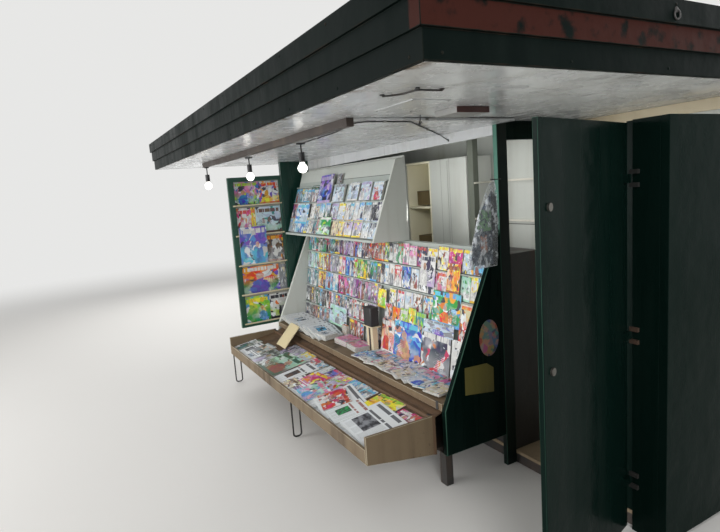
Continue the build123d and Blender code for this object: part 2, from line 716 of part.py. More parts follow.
def door_leaf():
    """Outer sheet of the entry door with its hinge knuckles, turned open about its hinge line."""
    leaf = block((DOOR_LEFT, DOOR_LEFT + DOOR_WIDTH), (ENTRY_FRONT, ENTRY_FRONT + DOOR_SHEET),
                 (DOOR_BOTTOM, DOOR_TOP))
    for height in DOOR_HINGE_HEIGHTS:
        band = (height - KNUCKLE_HEIGHT / 2, height + KNUCKLE_HEIGHT / 2)
        strap = block((HINGE_X - HINGE_STRAP_LENGTH, HINGE_X),
                      (HINGE_Y - PIN_RADIUS, ENTRY_FRONT), band)
        knuckle = upright(HINGE_X, HINGE_Y, KNUCKLE_RADIUS, band)
        leaf += strap + knuckle
        leaf -= upright(HINGE_X, HINGE_Y, PIN_RADIUS + PIN_GAP, band)
    return door_opened(leaf)


def door_stiles():
    """Upright tubes along both edges of the door, behind its sheet."""
    y = (ENTRY_FRONT + DOOR_SHEET, ENTRY_FRONT + DOOR_THICKNESS)
    heights = (DOOR_BOTTOM, DOOR_TOP)
    free_edge = block((DOOR_LEFT, DOOR_LEFT + DOOR_FRAME), y, heights)
    hinge_edge = block((DOOR_LEFT + DOOR_WIDTH - DOOR_FRAME, DOOR_LEFT + DOOR_WIDTH), y, heights)
    return [door_opened(free_edge), door_opened(hinge_edge)]


def door_rails():
    """Level tubes between the door's stiles: foot, two middle rails and head."""
    x = (DOOR_LEFT + DOOR_FRAME, DOOR_LEFT + DOOR_WIDTH - DOOR_FRAME)
    y = (ENTRY_FRONT + DOOR_SHEET, ENTRY_FRONT + DOOR_THICKNESS)
    return [door_opened(block(x, y, (low, low + DOOR_FRAME)))
            for low in (DOOR_BOTTOM, *DOOR_RAIL_HEIGHTS, DOOR_TOP - DOOR_FRAME)]


def door_opened(shape):
    return Pos(HINGE_X, HINGE_Y, 0) * Rot(0, 0, DOOR_OPEN_ANGLE) * Pos(-HINGE_X, -HINGE_Y, 0) * shape


def door_locks():
    """Round lock cylinders on the door's outer face, near its free edge."""
    x = DOOR_LEFT + LOCK_SETBACK
    locks = []
    for height in (LOCK_HEIGHT, DOOR_TOP - TOP_LOCK_DROP):
        centre = Pos(x, ENTRY_FRONT - LOCK_LENGTH / 2, height)
        locks.append(door_opened(centre * Rot(90, 0, 0) * Cylinder(LOCK_RADIUS, LOCK_LENGTH)))
    return locks


def hinge_pins():
    """Pins and arms on the posts that carry the entry door and the wing rack."""
    pins = []
    reach = KNUCKLE_HEIGHT / 2 + PIN_GAP
    for height in DOOR_HINGE_HEIGHTS:
        pin = upright(HINGE_X, HINGE_Y, PIN_RADIUS,
                      (height - reach - HINGE_ARM_HEIGHT, height + reach + HINGE_ARM_HEIGHT))
        for low in (height - reach - HINGE_ARM_HEIGHT, height + reach):
            pin += block((HINGE_X, HINGE_X + HINGE_ARM_LENGTH),
                         (HINGE_Y - PIN_RADIUS, ENTRY_FRONT), (low, low + HINGE_ARM_HEIGHT))
        pins.append(pin)
    for height in WING_HINGE_HEIGHTS:
        pin = upright(WING_AXIS_X, WING_AXIS_Y, PIN_RADIUS,
                      (height - reach - HINGE_ARM_HEIGHT, height + reach + HINGE_ARM_HEIGHT))
        for low in (height - reach - HINGE_ARM_HEIGHT, height + reach):
            pin += block((WING_AXIS_X - PIN_RADIUS, FAR_FACE),
                         (WING_AXIS_Y, WING_AXIS_Y + HINGE_ARM_LENGTH), (low, low + HINGE_ARM_HEIGHT))
        pins.append(pin)
    return pins


def shelf_unit(x):
    """Open shelving that stands against the back wall."""
    y = (BACK_INSIDE - FITTING_DEPTH, BACK_INSIDE)
    unit = block(x, y, (FLOOR_TOP, FITTING_TOP))
    bay = (FITTING_TOP - FLOOR_TOP - FITTING_BOARD) / SHELF_BAYS
    for index in range(SHELF_BAYS):
        low = FLOOR_TOP + FITTING_BOARD + index * bay
        unit -= block((x[0] + FITTING_BOARD, x[1] - FITTING_BOARD),
                      (y[0], y[1] - FITTING_BOARD), (low, low + bay - FITTING_BOARD))
    return unit


def closet():
    """Tall closet with two flush doors, closed."""
    y = (BACK_INSIDE - FITTING_DEPTH, BACK_INSIDE)
    body = block((CLOSET_NEAR - CLOSET_WIDTH, CLOSET_NEAR), y, (FLOOR_TOP, FITTING_TOP))
    middle = CLOSET_NEAR - CLOSET_WIDTH / 2
    gap = block((middle - CLOSET_DOOR_GAP / 2, middle + CLOSET_DOOR_GAP / 2),
                (y[0], y[0] + CLOSET_DOOR), (FLOOR_TOP + CLOSET_DOOR, FITTING_TOP - CLOSET_DOOR))
    return body - gap


def wall_battens():
    """Two level battens along the bare back wall, and the upright at the closet's near end."""
    start = CLOSET_NEAR + UPRIGHT_GAP
    front = BACK_INSIDE - FITTING_DEPTH + UPRIGHT_SETBACK
    upright_post = block((start, start + UPRIGHT_WIDTH), (front, front + UPRIGHT_DEPTH),
                         (FLOOR_TOP, CANOPY_UNDERSIDE))
    battens = [block((start, NEAR_INSIDE), (BACK_INSIDE - BATTEN_DEPTH, BACK_INSIDE), (low, low + BATTEN_HEIGHT))
               for low in BATTEN_HEIGHTS]
    return [upright_post, *battens]


def stock_cabinet():
    near = DISPLAY_NEAR + SIDE_PANEL - STOCK_CABINET_GAP
    front = FLOOR_FRONT + STOCK_CABINET_GAP
    return block((near - STOCK_CABINET_WIDTH, near), (front, front + STOCK_CABINET_DEPTH),
                 (FLOOR_TOP, STOCK_CABINET_TOP))


def entry_trim():
    return block((ENTRY_FAR, NEAR_INSIDE), (BACK_INSIDE - TRIM_THICKNESS, BACK_INSIDE),
                 (CANOPY_UNDERSIDE - TRIM_HEIGHT, CANOPY_UNDERSIDE))


def light_box():
    near = ENTRY_NEAR - LIGHT_BOX_FROM_POST
    front = ENTRY_FRONT - LIGHT_BOX_FORWARD
    return block((near - LIGHT_BOX_LENGTH, near), (front, front + LIGHT_BOX_WIDTH),
                 (CANOPY_UNDERSIDE - LIGHT_BOX_HEIGHT, CANOPY_UNDERSIDE))


def pedestal_place():
    """Near and front corner of the stand on the counter."""
    return DISPLAY_NEAR - PEDESTAL_FROM_POST, COUNTER_FRONT + PEDESTAL_FROM_FRONT


def pedestal():
    """Small white stand with a wider top board."""
    near, front = pedestal_place()
    top = COUNTER_TOP + PEDESTAL_HEIGHT
    lip = PEDESTAL_TOP_LIP
    column = block((near - PEDESTAL_WIDTH, near), (front, front + PEDESTAL_DEPTH),
                   (COUNTER_TOP, top - PEDESTAL_TOP_BOARD))
    board = block((near - PEDESTAL_WIDTH - lip, near + lip),
                  (front - lip / 2, front + PEDESTAL_DEPTH + lip / 2), (top - PEDESTAL_TOP_BOARD, top))
    return column + board


def black_box():
    """Rounded black box that stands on the pedestal."""
    near, front = pedestal_place()
    middle_x = near - PEDESTAL_WIDTH / 2
    middle_y = front + PEDESTAL_DEPTH / 2
    low = COUNTER_TOP + PEDESTAL_HEIGHT
    box = block((middle_x - BLACK_BOX_WIDTH / 2, middle_x + BLACK_BOX_WIDTH / 2),
                (middle_y - BLACK_BOX_DEPTH / 2, middle_y + BLACK_BOX_DEPTH / 2),
                (low, low + BLACK_BOX_HEIGHT))
    return fillet(box.edges().filter_by(Axis.Z), BLACK_BOX_ROUND)


def bulbs():
    """Round lamps with their caps, one under each holder."""
    shapes = []
    for x, y, z in BULB_PLACES:
        neck = upright(x, y, NECK_RADIUS, (z, z + BULB_RADIUS + NECK_LENGTH))
        shapes.append(Pos(x, y, z) * Sphere(BULB_RADIUS) + neck)
    return shapes


def lamp_ceiling():
    """Everything at and above the undersides that the lamps hang from."""
    above = [(POST_FRONT, flap_underside(POST_FRONT)), (FLAP_FRONT, flap_underside(FLAP_FRONT)),
             (FLAP_FRONT, ROOF_TOP), (POST_FRONT, ROOF_TOP)]
    return along_x(above, (DISPLAY_FAR, FLAP_NEAR)) + flap_beam()


def lampholders():
    """Holder, stem and ceiling rose of each bulb."""
    ceiling = lamp_ceiling()
    beam_back = FLAP_FRONT + FLAP_BEAM_DEPTH
    shapes = []
    for x, y, z in BULB_PLACES:
        seat = z + BULB_RADIUS + NECK_LENGTH
        hung_from = CANOPY_UNDERSIDE - FLAP_BEAM_HEIGHT if y < beam_back else flap_underside(y)
        reach = min(ROSE_RADIUS, abs(y - FLAP_FRONT), abs(beam_back - y)) if y < beam_back else ROSE_RADIUS
        holder = upright(x, y, HOLDER_RADIUS, (seat, seat + HOLDER_LENGTH))
        stem = upright(x, y, STEM_RADIUS, (seat, CANOPY_UNDERSIDE))
        rose = upright(x, y, reach, (hung_from - ROSE_HEIGHT, CANOPY_UNDERSIDE))
        shapes.append((holder + stem + rose) - ceiling)
    return shapes


def cable_route():
    """Corners of the lamp cable: along the flap from the near bulb, down the header and into it."""
    places = [(DISPLAY_NEAR - BULB_NEAR_INSET + ROSE_RADIUS + SOFT_GAP, POST_FRONT - BULB_FORWARD)]
    places += [(DISPLAY_NEAR + along, POST_FRONT - forward) for along, forward in CABLE_PLACES]
    below = CABLE_RADIUS + SOFT_GAP
    corners = [(x, y, flap_underside(y) - below) for x, y in places]
    x, y, z = corners.pop()
    corners.append((x, y - below, z))
    corners.append((x + CABLE_SHIFT, y - below, z - CABLE_DROP))
    corners.append((x + CABLE_SHIFT, y + HEADER_THICKNESS / 2, z - CABLE_DROP))
    return corners


def lamp_cable():
    corners = cable_route()
    route = FilletPolyline(*corners, radius=CABLE_BENDS)
    heading = Vector(*corners[1]) - Vector(*corners[0])
    return sweep(Plane(origin=corners[0], z_dir=heading) * Circle(CABLE_RADIUS), path=route)


def cable_clips():
    """Saddles screwed under the flap at the middle of each level run of the cable."""
    corners = cable_route()
    cable = lamp_cable()
    ceiling = lamp_ceiling()
    clips = []
    for first, second in zip(corners[:-3], corners[1:-2]):
        middle = (Vector(*first) + Vector(*second)) * 0.5
        heading = Vector(*second) - Vector(*first)
        turned = Plane(origin=middle, x_dir=heading, z_dir=(0, 0, 1))
        saddle = turned * Pos(0, 0, (CABLE_RADIUS - CLIP_SHEET) / 2) * Box(
            CLIP_LENGTH, CLIP_WIDTH, 3 * CABLE_RADIUS + CLIP_SHEET)
        clips.append(saddle - cable - ceiling)
    return clips


def bag_hook():
    """Bent wire hook on the display post that the bag hangs from."""
    x = ENTRY_FAR + SOFT_GAP + BAG_THICKNESS / 2
    z = BAG_TOP + SOFT_GAP + HOOK_RADIUS
    rear = POST_FRONT + POST_DEPTH / 4
    stub = Pos((ENTRY_FAR + x) / 2, rear, z) * Rot(0, 90, 0) * Cylinder(HOOK_RADIUS, x - ENTRY_FAR)
    reach = rear - BAG_FRONT - BAG_WIDTH / 2
    bar = Pos(x, rear - reach / 2, z) * Rot(90, 0, 0) * Cylinder(HOOK_RADIUS, reach)
    corner = Pos(x, rear, z) * Sphere(HOOK_RADIUS)
    return stub + bar + corner


def magazine_bag():
    """Clear bag with magazines in it, hanging flat beside the post."""
    x = (ENTRY_FAR + SOFT_GAP, ENTRY_FAR + SOFT_GAP + BAG_THICKNESS)
    return block(x, (BAG_FRONT, BAG_FRONT + BAG_WIDTH), (BAG_TOP - BAG_HEIGHT, BAG_TOP))


def build():
    """Every node of the kiosk, by name."""
    inner = HALF_LENGTH - FASCIA_INSET
    nodes = fascia_sides()
    nodes.update({
        "roof_deck": roof_deck(),
        "soffit_main": soffit((-inner, ENTRY_FAR)),
        "soffit_entry": soffit((ENTRY_FAR, inner)),
        "base_skids": base_skids(),
        "floor_joists": floor_joists(),
        "floor_deck": floor_deck(),
        "back_wall": back_wall(),
        "far_end_wall": far_end_wall(),
        "near_end_wall": near_end_wall(),
        "near_post": near_post(),
        "door_stop": door_stop(),
        "display_posts": display_posts(),
        "passage_lintel": passage_lintel(),
        "header_board": header_board(),
        "front_flap": front_flap(),
        "flap_beam": flap_beam(),
        "display_side_near": along_x(side_outline(), (DISPLAY_NEAR, DISPLAY_NEAR + SIDE_PANEL)),
        "display_side_far": along_x(side_outline(), (DISPLAY_FAR - SIDE_PANEL, DISPLAY_FAR)),
        "display_floor": display_floor(),
        "display_feet": display_feet(),
        "display_partition": partition(),
        "display_board": display_board(),
        "magazine_ledges": magazine_ledges(),
        "counter": counter(),
        "pedestal": pedestal(),
        "black_box": black_box(),
        "upper_rack": upper_rack(),
        "rack_ledges": rack_ledges(),
        "rack_side": rack_side(),
        "tray_guides": tray_guides(),
        "tray_box": tray_box(),
        "tray_deck": tray_deck(),
        "tray_ends": tray_ends(),
        "tray_brackets": tray_brackets(),
        "tray_arms": tray_arms(),
        "tray_legs": tray_legs(),
        "wing_rack": wing_rack(),
        "wing_rails": wing_rails(),
        "door_leaf": door_leaf(),
        "door_stiles": door_stiles(),
        "door_rails": door_rails(),
        "door_locks": door_locks(),
        "hinge_pins": hinge_pins(),
        "shelf_niche": shelf_unit((NICHE_NEAR - NICHE_WIDTH, NICHE_NEAR)),
        "wall_shelves": shelf_unit((SHELVES_NEAR - SHELVES_WIDTH, SHELVES_NEAR)),
        "closet": closet(),
        "wall_battens": wall_battens(),
        "stock_cabinet": stock_cabinet(),
        "entry_trim": entry_trim(),
        "light_box": light_box(),
        "bulbs": bulbs(),
        "lampholders": lampholders(),
        "lamp_cable": lamp_cable(),
        "cable_clips": cable_clips(),
        "bag_hook": bag_hook(),
        "magazine_bag": magazine_bag(),
    })
    return nodes


os.makedirs("parts", exist_ok=True)
for node, shape in build().items():
    if isinstance(shape, list):
        shape = Compound(shape)
    export_step(shape, f"parts/{node}.step")
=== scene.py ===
import bmesh
import bpy
import json
import math
import random
from mathutils import Matrix, Vector, noise

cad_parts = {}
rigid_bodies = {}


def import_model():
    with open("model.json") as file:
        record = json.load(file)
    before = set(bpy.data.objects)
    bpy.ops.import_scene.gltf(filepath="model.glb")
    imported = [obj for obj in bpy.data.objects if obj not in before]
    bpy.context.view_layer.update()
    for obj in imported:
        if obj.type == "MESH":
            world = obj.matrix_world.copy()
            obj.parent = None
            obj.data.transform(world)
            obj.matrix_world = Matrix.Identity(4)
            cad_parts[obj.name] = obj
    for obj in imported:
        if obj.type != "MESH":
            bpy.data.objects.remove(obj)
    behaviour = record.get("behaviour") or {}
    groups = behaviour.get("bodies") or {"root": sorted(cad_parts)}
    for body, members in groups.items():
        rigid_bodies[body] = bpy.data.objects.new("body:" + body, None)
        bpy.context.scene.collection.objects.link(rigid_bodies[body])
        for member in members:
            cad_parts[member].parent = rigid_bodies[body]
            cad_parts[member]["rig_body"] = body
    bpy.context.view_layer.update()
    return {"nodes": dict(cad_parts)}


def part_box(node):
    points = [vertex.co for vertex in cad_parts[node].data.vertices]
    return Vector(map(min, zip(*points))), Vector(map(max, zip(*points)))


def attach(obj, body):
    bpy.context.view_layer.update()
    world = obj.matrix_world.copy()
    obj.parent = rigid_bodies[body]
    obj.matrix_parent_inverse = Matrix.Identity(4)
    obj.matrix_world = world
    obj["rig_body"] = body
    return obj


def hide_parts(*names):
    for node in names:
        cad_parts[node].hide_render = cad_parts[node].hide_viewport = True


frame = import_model()

# Viewpoint: in front of the entry end, at eye height, looking along the counter. Its angles come
# from the vanishing points of the canopy, the counter and the posts.
EYE = Vector((3.4934, -1.9838, 1.80))
TURN = math.radians(28.58)
TILT = math.radians(8.21)
ROLL = math.radians(-4.14)
FRAME_WIDTH = 720
FOCAL_PIXELS = 539.66
SENSOR_WIDTH = 36


def new_object(name, data):
    """Object of the scene."""
    made = bpy.data.objects.new(name, data)
    bpy.context.scene.collection.objects.link(made)
    return made


level = Vector((-math.cos(TURN), math.sin(TURN), 0))
across = level.cross(Vector((0, 0, 1)))
ahead = level * math.cos(TILT) - Vector((0, 0, 1)) * math.sin(TILT)
overhead = across.cross(ahead)
right = across * math.cos(ROLL) + overhead * math.sin(ROLL)
upwards = overhead * math.cos(ROLL) - across * math.sin(ROLL)
camera_data = bpy.data.cameras.new("photo_camera")
camera_data.sensor_fit = "HORIZONTAL"
camera_data.sensor_width = SENSOR_WIDTH
camera_data.lens = FOCAL_PIXELS * SENSOR_WIDTH / FRAME_WIDTH
camera = new_object("photo_camera", camera_data)
axes = Matrix((right, upwards, -ahead)).transposed().to_4x4()
camera.matrix_world = Matrix.Translation(EYE) @ axes
bpy.context.scene.camera = camera
bpy.context.scene.view_settings.view_transform = "Standard"

# Studio: a pale floor that fades into a white surround, a soft sky and four broad lamps. One stands
# low in front, so that light reaches under the canopy. Three small ones are inside, out of sight.
FLOOR_RADIUS = 60
FLOOR_SIDES = 96
FLOOR_ROUGHNESS = 0.75
FLOOR_COLOUR = (0.62, 0.61, 0.59, 1)
SURROUND_COLOUR = (0.80, 0.80, 0.79, 1)
FADE_START = 5.5
FADE_END = 13
SKY_COLOUR = (1.0, 0.99, 0.97, 1)
SKY_STRENGTH = 0.42
INNER_LAMP = 0.5
LAMPS = {
    "front_lamp": {"at": (-1.0, -6.5, 2.1), "aim": (0.0, 0.2, 1.1), "size": 4.2, "power": 330},
    "entry_lamp": {"at": (6.8, -2.6, 3.4), "aim": (0.6, 0.2, 1.2), "size": 3.2, "power": 240},
    "rear_lamp": {"at": (1.5, 7.0, 4.5), "aim": (0.0, 0.5, 1.2), "size": 4.5, "power": 240},
    "far_lamp": {"at": (-7.0, 0.5, 3.8), "aim": (-0.8, 0.0, 1.2), "size": 4.0, "power": 200},
    "aisle_lamp": {"at": (-0.05, 0.30, 1.72), "aim": (-0.05, 0.99, 1.66), "size": INNER_LAMP, "power": 2.9},
    "passage_lamp": {"at": (0.62, 0.55, 2.09), "aim": (0.50, 0.80, 0.0), "size": INNER_LAMP, "power": 0.8},
    "entry_bay_lamp": {"at": (1.45, 0.60, 2.08), "aim": (1.45, 0.62, 0.0), "size": INNER_LAMP,
                       "power": 0.9},
}


def add_node(tree, kind, inputs=None, **settings):
    """Node of a kind with its settings and input values. An input that is a socket gets linked."""
    made = tree.nodes.new(kind)
    for name, value in settings.items():
        setattr(made, name, value)
    for key, value in (inputs or {}).items():
        if isinstance(value, bpy.types.NodeSocket):
            tree.links.new(value, made.inputs[key])
        else:
            made.inputs[key].default_value = value
    return made


def maths(tree, operation, first, second=0.0, third=0.0):
    made = add_node(tree, "ShaderNodeMath", {0: first, 1: second, 2: third}, operation=operation)
    return made.outputs[0]


def blend_colour(tree, share, first, second, mode="MIX"):
    made = add_node(tree, "ShaderNodeMix", {0: share, 6: first, 7: second},
                    data_type="RGBA", blend_type=mode)
    return made.outputs[2]


def meshed(name, shape, finish=None):
    """Mesh of a shape, in one finish."""
    mesh = bpy.data.meshes.new(name)
    shape.to_mesh(mesh)
    shape.free()
    if finish:
        mesh.materials.append(finish)
    return mesh


floor_material = bpy.data.materials.new("studio_floor")
floor_material.use_nodes = True
tree = floor_material.node_tree
shader = tree.nodes["Principled BSDF"]
shader.inputs["Base Color"].default_value = FLOOR_COLOUR
shader.inputs["Roughness"].default_value = FLOOR_ROUGHNESS
place = add_node(tree, "ShaderNodeTexCoord").outputs["Object"]
distance = add_node(tree, "ShaderNodeVectorMath", {0: place}, operation="LENGTH").outputs["Value"]
fade = add_node(tree, "ShaderNodeMapRange", {0: distance, 1: FADE_START, 2: FADE_END},
                interpolation_type="SMOOTHSTEP").outputs[0]
glow = add_node(tree, "ShaderNodeEmission", {"Color": SURROUND_COLOUR, "Strength": 1.0}).outputs[0]
mixed = add_node(tree, "ShaderNodeMixShader", {0: fade, 1: shader.outputs[0], 2: glow}).outputs[0]
tree.links.new(mixed, tree.nodes["Material Output"].inputs["Surface"])
shape = bmesh.new()
bmesh.ops.create_circle(shape, cap_ends=True, radius=FLOOR_RADIUS, segments=FLOOR_SIDES)
floor = new_object("floor", meshed("floor", shape, floor_material))

world = bpy.data.worlds.new("studio_sky")
world.use_nodes = True
bpy.context.scene.world = world
tree = world.node_tree
rays = add_node(tree, "ShaderNodeLightPath").outputs
seen = maths(tree, "MAXIMUM", rays["Is Camera Ray"], rays["Is Glossy Ray"])
seen = maths(tree, "MAXIMUM", seen, rays["Is Transmission Ray"])
sky = tree.nodes["Background"]
sky.inputs["Color"].default_value = SKY_COLOUR
sky.inputs["Strength"].default_value = SKY_STRENGTH
surround = add_node(tree, "ShaderNodeBackground", {"Color": SURROUND_COLOUR, "Strength": 1.0})
mixed = add_node(tree, "ShaderNodeMixShader", {0: seen, 1: sky.outputs[0], 2: surround.outputs[0]})
tree.links.new(mixed.outputs[0], tree.nodes["World Output"].inputs["Surface"])

for name, lamp in LAMPS.items():
    lamp_data = bpy.data.lights.new(name, "AREA")
    lamp_data.shape = "DISK"
    lamp_data.size = lamp["size"]
    lamp_data.energy = lamp["power"]
    lamp_object = new_object(name, lamp_data)
    lamp_object.visible_camera = False
    lamp_object.visible_glossy = lamp["size"] > INNER_LAMP
    lamp_object.location = lamp["at"]
    heading = Vector(lamp["aim"]) - Vector(lamp["at"])
    lamp_object.rotation_euler = heading.to_track_quat("-Z", "Y").to_euler()

# Canopy fascia: folded steel sheet in three stepped bands, gloss green that is nearly black, gone
# chalky and brown where rain runs off each step. The middle band of the near end is painted reddish
# brown as a painted reflection of orange light.
GREEN_BLACK = (0.0018, 0.0044, 0.0038, 1)
GREEN_CHALK = (0.0050, 0.0088, 0.0075, 1)
NEAR_BAND_REFLECTION = (0.032, 0.0098, 0.0072, 1)
EDGE_RUST = (0.034, 0.020, 0.013, 1)
BOLT_BLACK = (0.03, 0.03, 0.03, 1)
PAINT_SHINE = 0.035
FASCIA_EDGE = 0.0022
REFLECTION_BAND = (2.2095, 2.2925)
REFLECTION_FROM_X = 2.24
SCREW_SPACING = 0.42
SCREW_INSET = 0.09
SCREW_RADIUS = 0.0055
SCREW_RISES = ((0.021, 0.026), (0.232, 0))
END_SCREWS = 5
RING_HEIGHT = 2.339
RING_RADIUS = 0.017
RING_WIRE = 0.0035
RING_CORNERS = 8
RING_BOLT_RADIUS = 0.011
HEAD_FLATNESS = 0.45
WELD_GAP = 0.00002
FLAT_BELOW = math.radians(0.5)
EDGE_FROM = math.radians(35)


def new_material(name):
    """Material with its node tree and shader, and the piece's own coordinates."""
    made = bpy.data.materials.new(name)
    made.use_nodes = True
    tree = made.node_tree
    place = add_node(tree, "ShaderNodeTexCoord").outputs["Object"]
    return made, tree, tree.nodes["Principled BSDF"], place


def times(tree, first, second):
    return maths(tree, "MULTIPLY", first, second)


def split(tree, vector):
    """The three numbers of a vector."""
    return add_node(tree, "ShaderNodeSeparateXYZ", {0: vector}).outputs


def coloured(tree, shader, shade):
    tree.links.new(shade, shader.inputs["Base Color"])


def grain(tree, place, scale, detail=4.0, stretch=(1, 1, 1), roughness=0.55):
    """Noise value, finer along an axis with a larger stretch."""
    turned = add_node(tree, "ShaderNodeMapping", {"Vector": place, "Scale": stretch}).outputs[0]
    made = add_node(tree, "ShaderNodeTexNoise", {"Vector": turned, "Scale": scale,
                                                 "Detail": detail, "Roughness": roughness})
    return made.outputs["Fac"]


def between(tree, value, low, high, first=0.0, last=1.0):
    """Value carried smoothly from one range to another."""
    made = add_node(tree, "ShaderNodeMapRange", {0: value, 1: low, 2: high, 3: first, 4: last},
                    interpolation_type="SMOOTHSTEP")
    return made.outputs[0]


def band(tree, value, low, high, soft=0.0008):
    """One between low and high, and nothing elsewhere."""
    rising = between(tree, value, low - soft, low + soft)
    falling = between(tree, value, high - soft, high + soft, 1.0, 0.0)
    return times(tree, rising, falling)


def painted(name, colour, worn, streak=0.5, gloss=0.3, ripple=0.12, ripple_scale=9, dirt=None, shine=0.5):
    """Brushed-on enamel: long vertical streaks, cloudy wear, an uneven gloss and slight waves."""
    made, tree, shader, place = new_material(name)
    cloud = grain(tree, place, 2.2, 6)
    runs = grain(tree, place, 6.0, 5, (1.6, 1.6, 0.12))
    speck = grain(tree, place, 70.0, 3)
    wear = times(tree, between(tree, runs, 0.42, 0.72), streak)
    wear = times(tree, wear, between(tree, cloud, 0.35, 0.65))
    shade = blend_colour(tree, wear, colour, worn)
    if dirt:
        spots = times(tree, between(tree, speck, 0.60, 0.72), between(tree, cloud, 0.5, 0.66))
        shade = blend_colour(tree, spots, shade, dirt)
    coloured(tree, shader, shade)
    rough = maths(tree, "ADD", gloss, times(tree, between(tree, runs, 0.3, 0.8), 0.22))
    tree.links.new(rough, shader.inputs["Roughness"])
    shader.inputs["Specular IOR Level"].default_value = shine
    waves = maths(tree, "ADD", grain(tree, place, ripple_scale, 2), times(tree, speck, 0.10))
    bump = add_node(tree, "ShaderNodeBump", {"Height": waves, "Strength": ripple, "Distance": 0.02})
    tree.links.new(bump.outputs[0], shader.inputs["Normal"])
    return made, tree, shader, place, shade


def paint(*recipe, **more):
    """Enamel as it is, with nothing added to it."""
    return painted(*recipe, **more)[0]


def merged_copy(node):
    """Copy of a node's mesh with its loose triangles joined into whole faces."""
    shape = bmesh.new()
    shape.from_mesh(frame["nodes"][node].data)
    bmesh.ops.remove_doubles(shape, verts=shape.verts, dist=WELD_GAP)
    bmesh.ops.dissolve_limit(shape, angle_limit=FLAT_BELOW, verts=shape.verts, edges=shape.edges)
    return meshed(node + "_mesh", shape)


def shown(name, mesh, body):
    """Object of the kiosk that rides on a body, in the finish its mesh already has."""
    made = new_object(name, mesh)
    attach(made, body)
    return made


def evaluated_mesh(target):
    bpy.context.view_layer.update()
    evaluated = target.evaluated_get(bpy.context.evaluated_depsgraph_get())
    return bpy.data.meshes.new_from_object(evaluated)


def applied(target):
    """Turns an object with its modifiers into a plain mesh."""
    mesh = evaluated_mesh(target)
    target.modifiers.clear()
    target.data = mesh
    return target


def edged(node, width, face, edge=None, round_from=None):
    """Shows a node with its edges rounded in their own finish: wear on some pieces, painted highlight on
    others. Round parts are smooth below an angle in degrees.
    """
    source = frame["nodes"][node]
    mesh = merged_copy(node)
    mesh.materials.clear()
    mesh.materials.append(face)
    mesh.materials.append(edge or face)
    for polygon in mesh.polygons:
        polygon.material_index = 0
    if round_from:
        mesh.shade_smooth()
        mesh.set_sharp_from_angle(angle=math.radians(round_from))
    made = new_object(node + "_dressed", mesh)
    if width:
        bevel = made.modifiers.new("edges", "BEVEL")
        bevel.width = width
        bevel.segments = 2
        bevel.limit_method = "ANGLE"
        bevel.angle_limit = EDGE_FROM
        bevel.material = 1
        bevel.harden_normals = False
        applied(made)
    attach(made, source["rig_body"])
    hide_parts(node)
    return made


def dress(node, material):
    """Gives a node's own mesh a finish."""
    mesh = frame["nodes"][node].data
    mesh.materials.clear()
    mesh.materials.append(material)


def new_tree(name, inputs, result):
    """Geometry Nodes tree with its named inputs, and what they give."""
    tree = bpy.data.node_groups.new(name, "GeometryNodeTree")
    for label, kind in inputs.items():
        tree.interface.new_socket(label, in_out="INPUT", socket_type="NodeSocket" + kind)
    tree.interface.new_socket(result, in_out="OUTPUT", socket_type="NodeSocketGeometry")
    return tree, add_node(tree, "NodeGroupInput").outputs


def screw_tree():
    """Tree that sets a domed head on every point, facing the way that the point's attribute says."""
    inputs = {"Points": "Geometry", "Head radius": "Float", "Finish": "Material"}
    tree, given = new_tree("screw_heads", inputs, "Heads")
    ball = add_node(tree, "GeometryNodeMeshUVSphere", {"Segments": 12, "Rings": 6, "Radius": given[1]})
    domed = add_node(tree, "GeometryNodeTransform", {"Geometry": ball.outputs[0],
                                                     "Scale": (1, 1, HEAD_FLATNESS)})
    facing = add_node(tree, "GeometryNodeInputNamedAttribute", {"Name": "facing"}, data_type="FLOAT_VECTOR")
    turned = add_node(tree, "FunctionNodeAlignRotationToVector", {"Vector": facing.outputs[0]}, axis="Z")
    heads = add_node(tree, "GeometryNodeInstanceOnPoints",
                     {"Points": given[0], "Instance": domed.outputs[0], "Rotation": turned.outputs[0]})
    whole = add_node(tree, "GeometryNodeRealizeInstances", {"Geometry": heads.outputs[0]})
    smooth = add_node(tree, "GeometryNodeSetShadeSmooth", {"Geometry": whole.outputs[0]})
    finish = add_node(tree, "GeometryNodeSetMaterial",
                      {"Geometry": smooth.outputs[0], "Material": given[2]})
    add_node(tree, "NodeGroupOutput", {0: finish.outputs[0]})
    return tree


def grown(name, points, attributes, tree, values):
    """Mesh that a Geometry Nodes tree grows from points and their attributes, by its named inputs."""
    mesh = bpy.data.meshes.new(name)
    mesh.from_pydata(points, [], [])
    for label, (kind, field, numbers) in attributes.items():
        layer = mesh.attributes.new(label, kind, "POINT")
        layer.data.foreach_set(field, numbers)
    made = new_object(name, mesh)
    grower = made.modifiers.new("grower", "NODES")
    grower.node_group = tree
    for item in tree.interface.items_tree:
        if item.in_out == "INPUT" and item.name in values:
            grower[item.identifier] = values[item.name]
    return applied(made)


def screws(name, body, places, finish, radius):
    """Row of screw heads. Each place is a point and the way that it faces."""
    points = [point for point, facing in places]
    ways = [number for point, facing in places for number in facing]
    made = grown(name, points, {"facing": ("FLOAT_VECTOR", "vector", ways)}, heads_tree,
                 {"Head radius": radius, "Finish": finish})
    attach(made, body)
    return made


def rod(name, points, radius, body, finish, closed=False):
    """Bent round bar through its points."""
    curve = bpy.data.curves.new(name, "CURVE")
    curve.dimensions = "3D"
    curve.bevel_depth = radius
    curve.bevel_resolution = 3
    curve.use_fill_caps = True
    line = curve.splines.new("NURBS")
    line.points.add(len(points) - 1)
    for point, place in zip(line.points, points):
        point.co = (*place, 1)
    line.use_cyclic_u = closed
    line.order_u = 3
    line.use_endpoint_u = not closed
    bent = new_object(name + "_line", curve)
    mesh = evaluated_mesh(bent)
    bpy.data.objects.remove(bent)
    mesh.shade_smooth()
    mesh.materials.clear()
    mesh.materials.append(finish)
    return shown(name, mesh, body)


